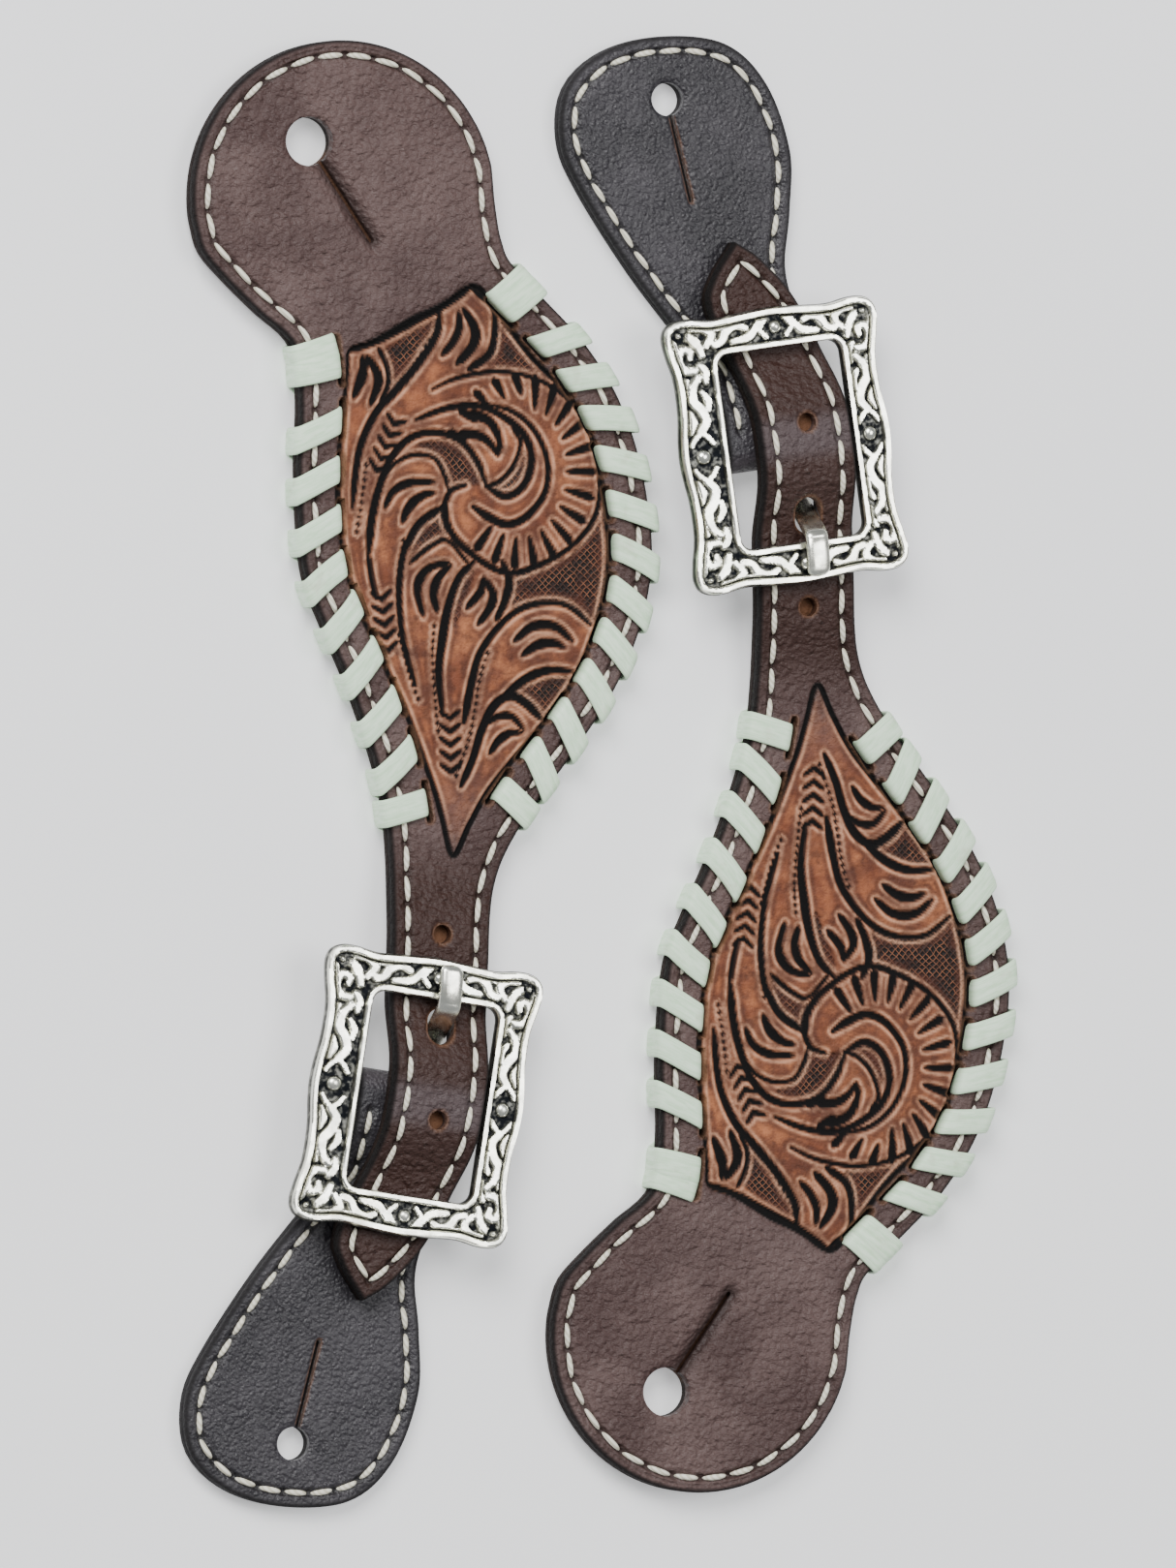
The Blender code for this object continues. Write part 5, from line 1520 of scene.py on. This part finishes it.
def plain_leather(name, dark, light, roughness, shine):
    """Leather of one colour, with grain, a painted sheen on its fold, painted shade in its seam groove and
    dyed dark edges.
    """
    look = Finish(name)
    raw, sheen, crease_shade, rim = look.painted("wear_and_painted_light")
    mottle, fine = look.noise(90, 5), look.noise(1500, 3, 0.6)
    colour = look.mix(look.ramp(mottle, 0.35, 0.66), dark, light)
    # Painted highlight: a paler sheen on the fold round the bar.
    colour = look.mix(look.math("MULTIPLY", sheen, 0.35), colour, (0.12, 0.10, 0.11))
    # The dyed edges, and painted shade in the seam groove.
    edge_dye_and_crease_shade = look.math("MULTIPLY", look.math("MAXIMUM", crease_shade, rim), 0.75)
    colour = look.mix(edge_dye_and_crease_shade, colour, (0.008, 0.007, 0.007))
    colour = look.mix(raw, colour, (0.16, 0.075, 0.04))
    rough = look.math("ADD", look.ramp(fine, 0.3, 0.7, roughness - 0.06, roughness + 0.1),
                      look.math("MULTIPLY", rim, 0.6))
    normal = look.bump(look.pebbles(1700), 1.0, 0.00018, look.bump(fine, 0.8, 0.0003))
    return look.done(colour, rough, normal, Specular_IOR_Level=shine)


# %% [markdown]
# ## Rawhide, thread and metal
# Rawhide is pale and fibrous along its length, so its pattern follows the strip by its UV map. The cast
# metal is bright on its high parts and black in its recesses, by the painted depth.


# %% Rawhide, thread and metals
def rawhide():
    """Pale rawhide, with fibres along the strip."""
    look = Finish("rawhide")
    strip = look.add("ShaderNodeUVMap").outputs["UV"]
    fibres = look.add("ShaderNodeMapping", Vector=strip, Scale=(5.0, 46.0, 1.0)).outputs["Vector"]
    grain = look.noise(1.0, 5, 0.62, fibres)
    colour = look.mix(look.ramp(grain, 0.34, 0.62), (0.62, 0.86, 0.58), (0.82, 1.0, 0.77))
    colour = look.mix(look.ramp(look.noise(260, 3), 0.58, 0.74, 0.0, 0.3), colour, (0.45, 0.44, 0.30))
    return look.done(colour, look.ramp(grain, 0.3, 0.7, 0.6, 0.42), look.bump(grain, 0.35, 0.00015))


def cotton():
    """Cream thread with slanting strands."""
    look = Finish("waxed thread")
    strands = look.add("ShaderNodeTexWave", {"bands_direction": "DIAGONAL"}, Scale=520.0, Distortion=0.6,
                       Vector=look.place).outputs["Fac"]
    colour = look.mix(look.ramp(strands, 0.1, 0.7), (0.66, 0.62, 0.48), (0.92, 0.88, 0.74))
    return look.done(colour, 0.62, look.bump(strands, 0.4, 0.0001))


def metal(name, bright, dull, roughness, aged):
    """Metal, blackened in its recesses if it is aged."""
    look = Finish(name)
    fine = look.noise(500, 5, 0.6)
    colour = look.mix(look.ramp(look.noise(240, 4), 0.35, 0.7), bright, dull)
    rough = look.ramp(fine, 0.3, 0.75, roughness - 0.05, roughness + 0.14)
    if aged:
        dark = look.painted("finish")[0]
        uneven = look.math("MULTIPLY", dark, look.ramp(look.noise(900, 3), 0.25, 0.55, 0.75, 1.0))
        colour = look.mix(uneven, colour, (0.008, 0.009, 0.011))
        rough = look.math("ADD", rough, look.math("MULTIPLY", dark, 0.25))
    return look.done(colour, rough, look.bump(fine, 0.35, 0.00012), Metallic=1.0)


LINING_BROWNS = (0.012, 0.008, 0.007), (0.022, 0.014, 0.012)
STRAP_BLACKS = (0.020, 0.018, 0.022), (0.040, 0.036, 0.042)
looks = {
    "brown_leather": tooled_leather(),
    "lining_leather": plain_leather("lining leather", *LINING_BROWNS, 0.7, 0.15),
    "dark_leather": plain_leather("dark leather", *STRAP_BLACKS, 0.35, 0.46),
    "thread": cotton(),
    "rawhide_lace": rawhide(),
    "antique_silver": metal("antique silver", (1.0, 1.0, 0.90), (0.90, 0.89, 0.77), 0.22, True),
    "steel": metal("steel", (0.58, 0.57, 0.54), (0.40, 0.38, 0.35), 0.34, False),
}
print("finishes", list(looks))

# %% [markdown]
# ## Placing both straps
# Each piece is finished once and then placed twice. The right-hand copy is mirrored end for end, with its
# faces turned the right way out again. Each rides on the body of the solid it stands for.

# %% Both straps
PIECES = [
    (face, "strap_face", "strap", "brown_leather"),
    (lining, "strap_lining", "strap", "lining_leather"),
    (thread, "strap_thread", "strap", "thread"),
    (laces["outer"], "lace_outer", "strap", "rawhide_lace"),
    (laces["inner"], "lace_inner", "strap", "rawhide_lace"),
    (buckle, "buckle_frame", "strap", "antique_silver"),
    (tongue, "buckle_tongue", "tongue", "antique_silver"),
    (short_face, "buckle_strap_face", "buckle_strap", "dark_leather"),
    (short_lining, "buckle_strap_lining", "buckle_strap", "dark_leather"),
    (short_thread, "buckle_strap_thread", "buckle_strap", "thread"),
]
SMOOTH_ANGLES = {"strap_face": 70, "strap_lining": 40, "buckle_strap_face": 60, "buckle_strap_lining": 40}
placed = []
for piece, node, body, finish in PIECES:
    start_clean()
    bpy.context.view_layer.objects.active = piece
    piece.select_set(True)
    bpy.ops.object.shade_smooth_by_angle(angle=math.radians(SMOOTH_ANGLES.get(node, 50)))
    piece.data.materials.clear()
    piece.data.materials.append(looks[finish])
    other = piece.copy()
    other.data = piece.data.copy()
    other.name = other.data.name = piece.name.replace("left", "right")
    bpy.context.scene.collection.objects.link(other)
    for side, obj in (("left", piece), ("right", other)):
        set_points(obj, on_table(points_of(obj), side))
        if side == "right":
            obj.data.flip_normals()
        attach(obj, f"{side}_{body}")
        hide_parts(f"{side}_{node}")
        placed.append(obj)
for side in ("left", "right"):
    bar = frame["nodes"][f"{side}_buckle_bar"]
    bar.data.materials.clear()
    bar.data.materials.append(looks["steel"])
print("pieces", len(placed), "triangles", sum(len(p.vertices) - 2 for o in placed for p in o.data.polygons))

# %% [markdown]
# ## Floor, light and camera
# The pair lies on a pale table under one large soft light from the upper left and a weaker one from the
# right. The camera looks almost straight down, leaning a little to the left.

# %% The table
TABLE_SIZE, TABLE_DROP = 6, 0.0002
start_clean()
bpy.ops.mesh.primitive_plane_add(size=TABLE_SIZE, location=(0, 0, -TABLE_DROP))
floor = bpy.context.object
floor.name = "table"
table = Finish("pale table")
pale = table.mix(table.ramp(table.noise(3), 0.4, 0.6), (0.86, 0.86, 0.88), (0.90, 0.90, 0.91))
paper = table.bump(table.noise(400), 0.05, 0.0001)
floor.data.materials.append(table.done(pale, 0.7, paper, Emission_Color=(1, 1, 1, 1), Emission_Strength=0.4))
print("table", floor.dimensions.x, "m wide")

# %% Light
world = bpy.data.worlds.new("studio")
bpy.context.scene.world = world
world.use_nodes = True
surroundings = world.node_tree.nodes["Background"].inputs
surroundings["Color"].default_value = (0.93, 0.96, 1.0, 1)
surroundings["Strength"].default_value = 0.32


def soft_light(name, place, size, power):
    """A square light that points at the middle of the pair."""
    start_clean()
    bpy.ops.object.light_add(type="AREA", location=place)
    light = bpy.context.object
    light.name = name
    light.data.size, light.data.energy = size, power
    light.rotation_euler = (-Vector(place)).to_track_quat("-Z", "Y").to_euler()


soft_light("window", (-0.55, 0.75, 1.15), 0.8, 24)
soft_light("fill", (0.55, 0.15, 1.45), 0.7, 10)

# %% Camera
TILT = math.radians(18.6)
SENSOR_HEIGHT, LENS = 24, 247.6
AIM, DISTANCE = Vector((-0.0014, -0.0023, 0)), 2.5
start_clean()
back = Vector((-math.sin(TILT), 0, math.cos(TILT)))
bpy.ops.object.camera_add(location=AIM + back * DISTANCE, rotation=(0, -TILT, 0))
camera = bpy.context.object
camera.data.sensor_fit, camera.data.sensor_height, camera.data.lens = "VERTICAL", SENSOR_HEIGHT, LENS
camera.data.clip_end = 10
bpy.context.scene.camera = camera
print("camera", round(DISTANCE, 2), "m away")

# %% The end
bpy.context.view_layer.update()
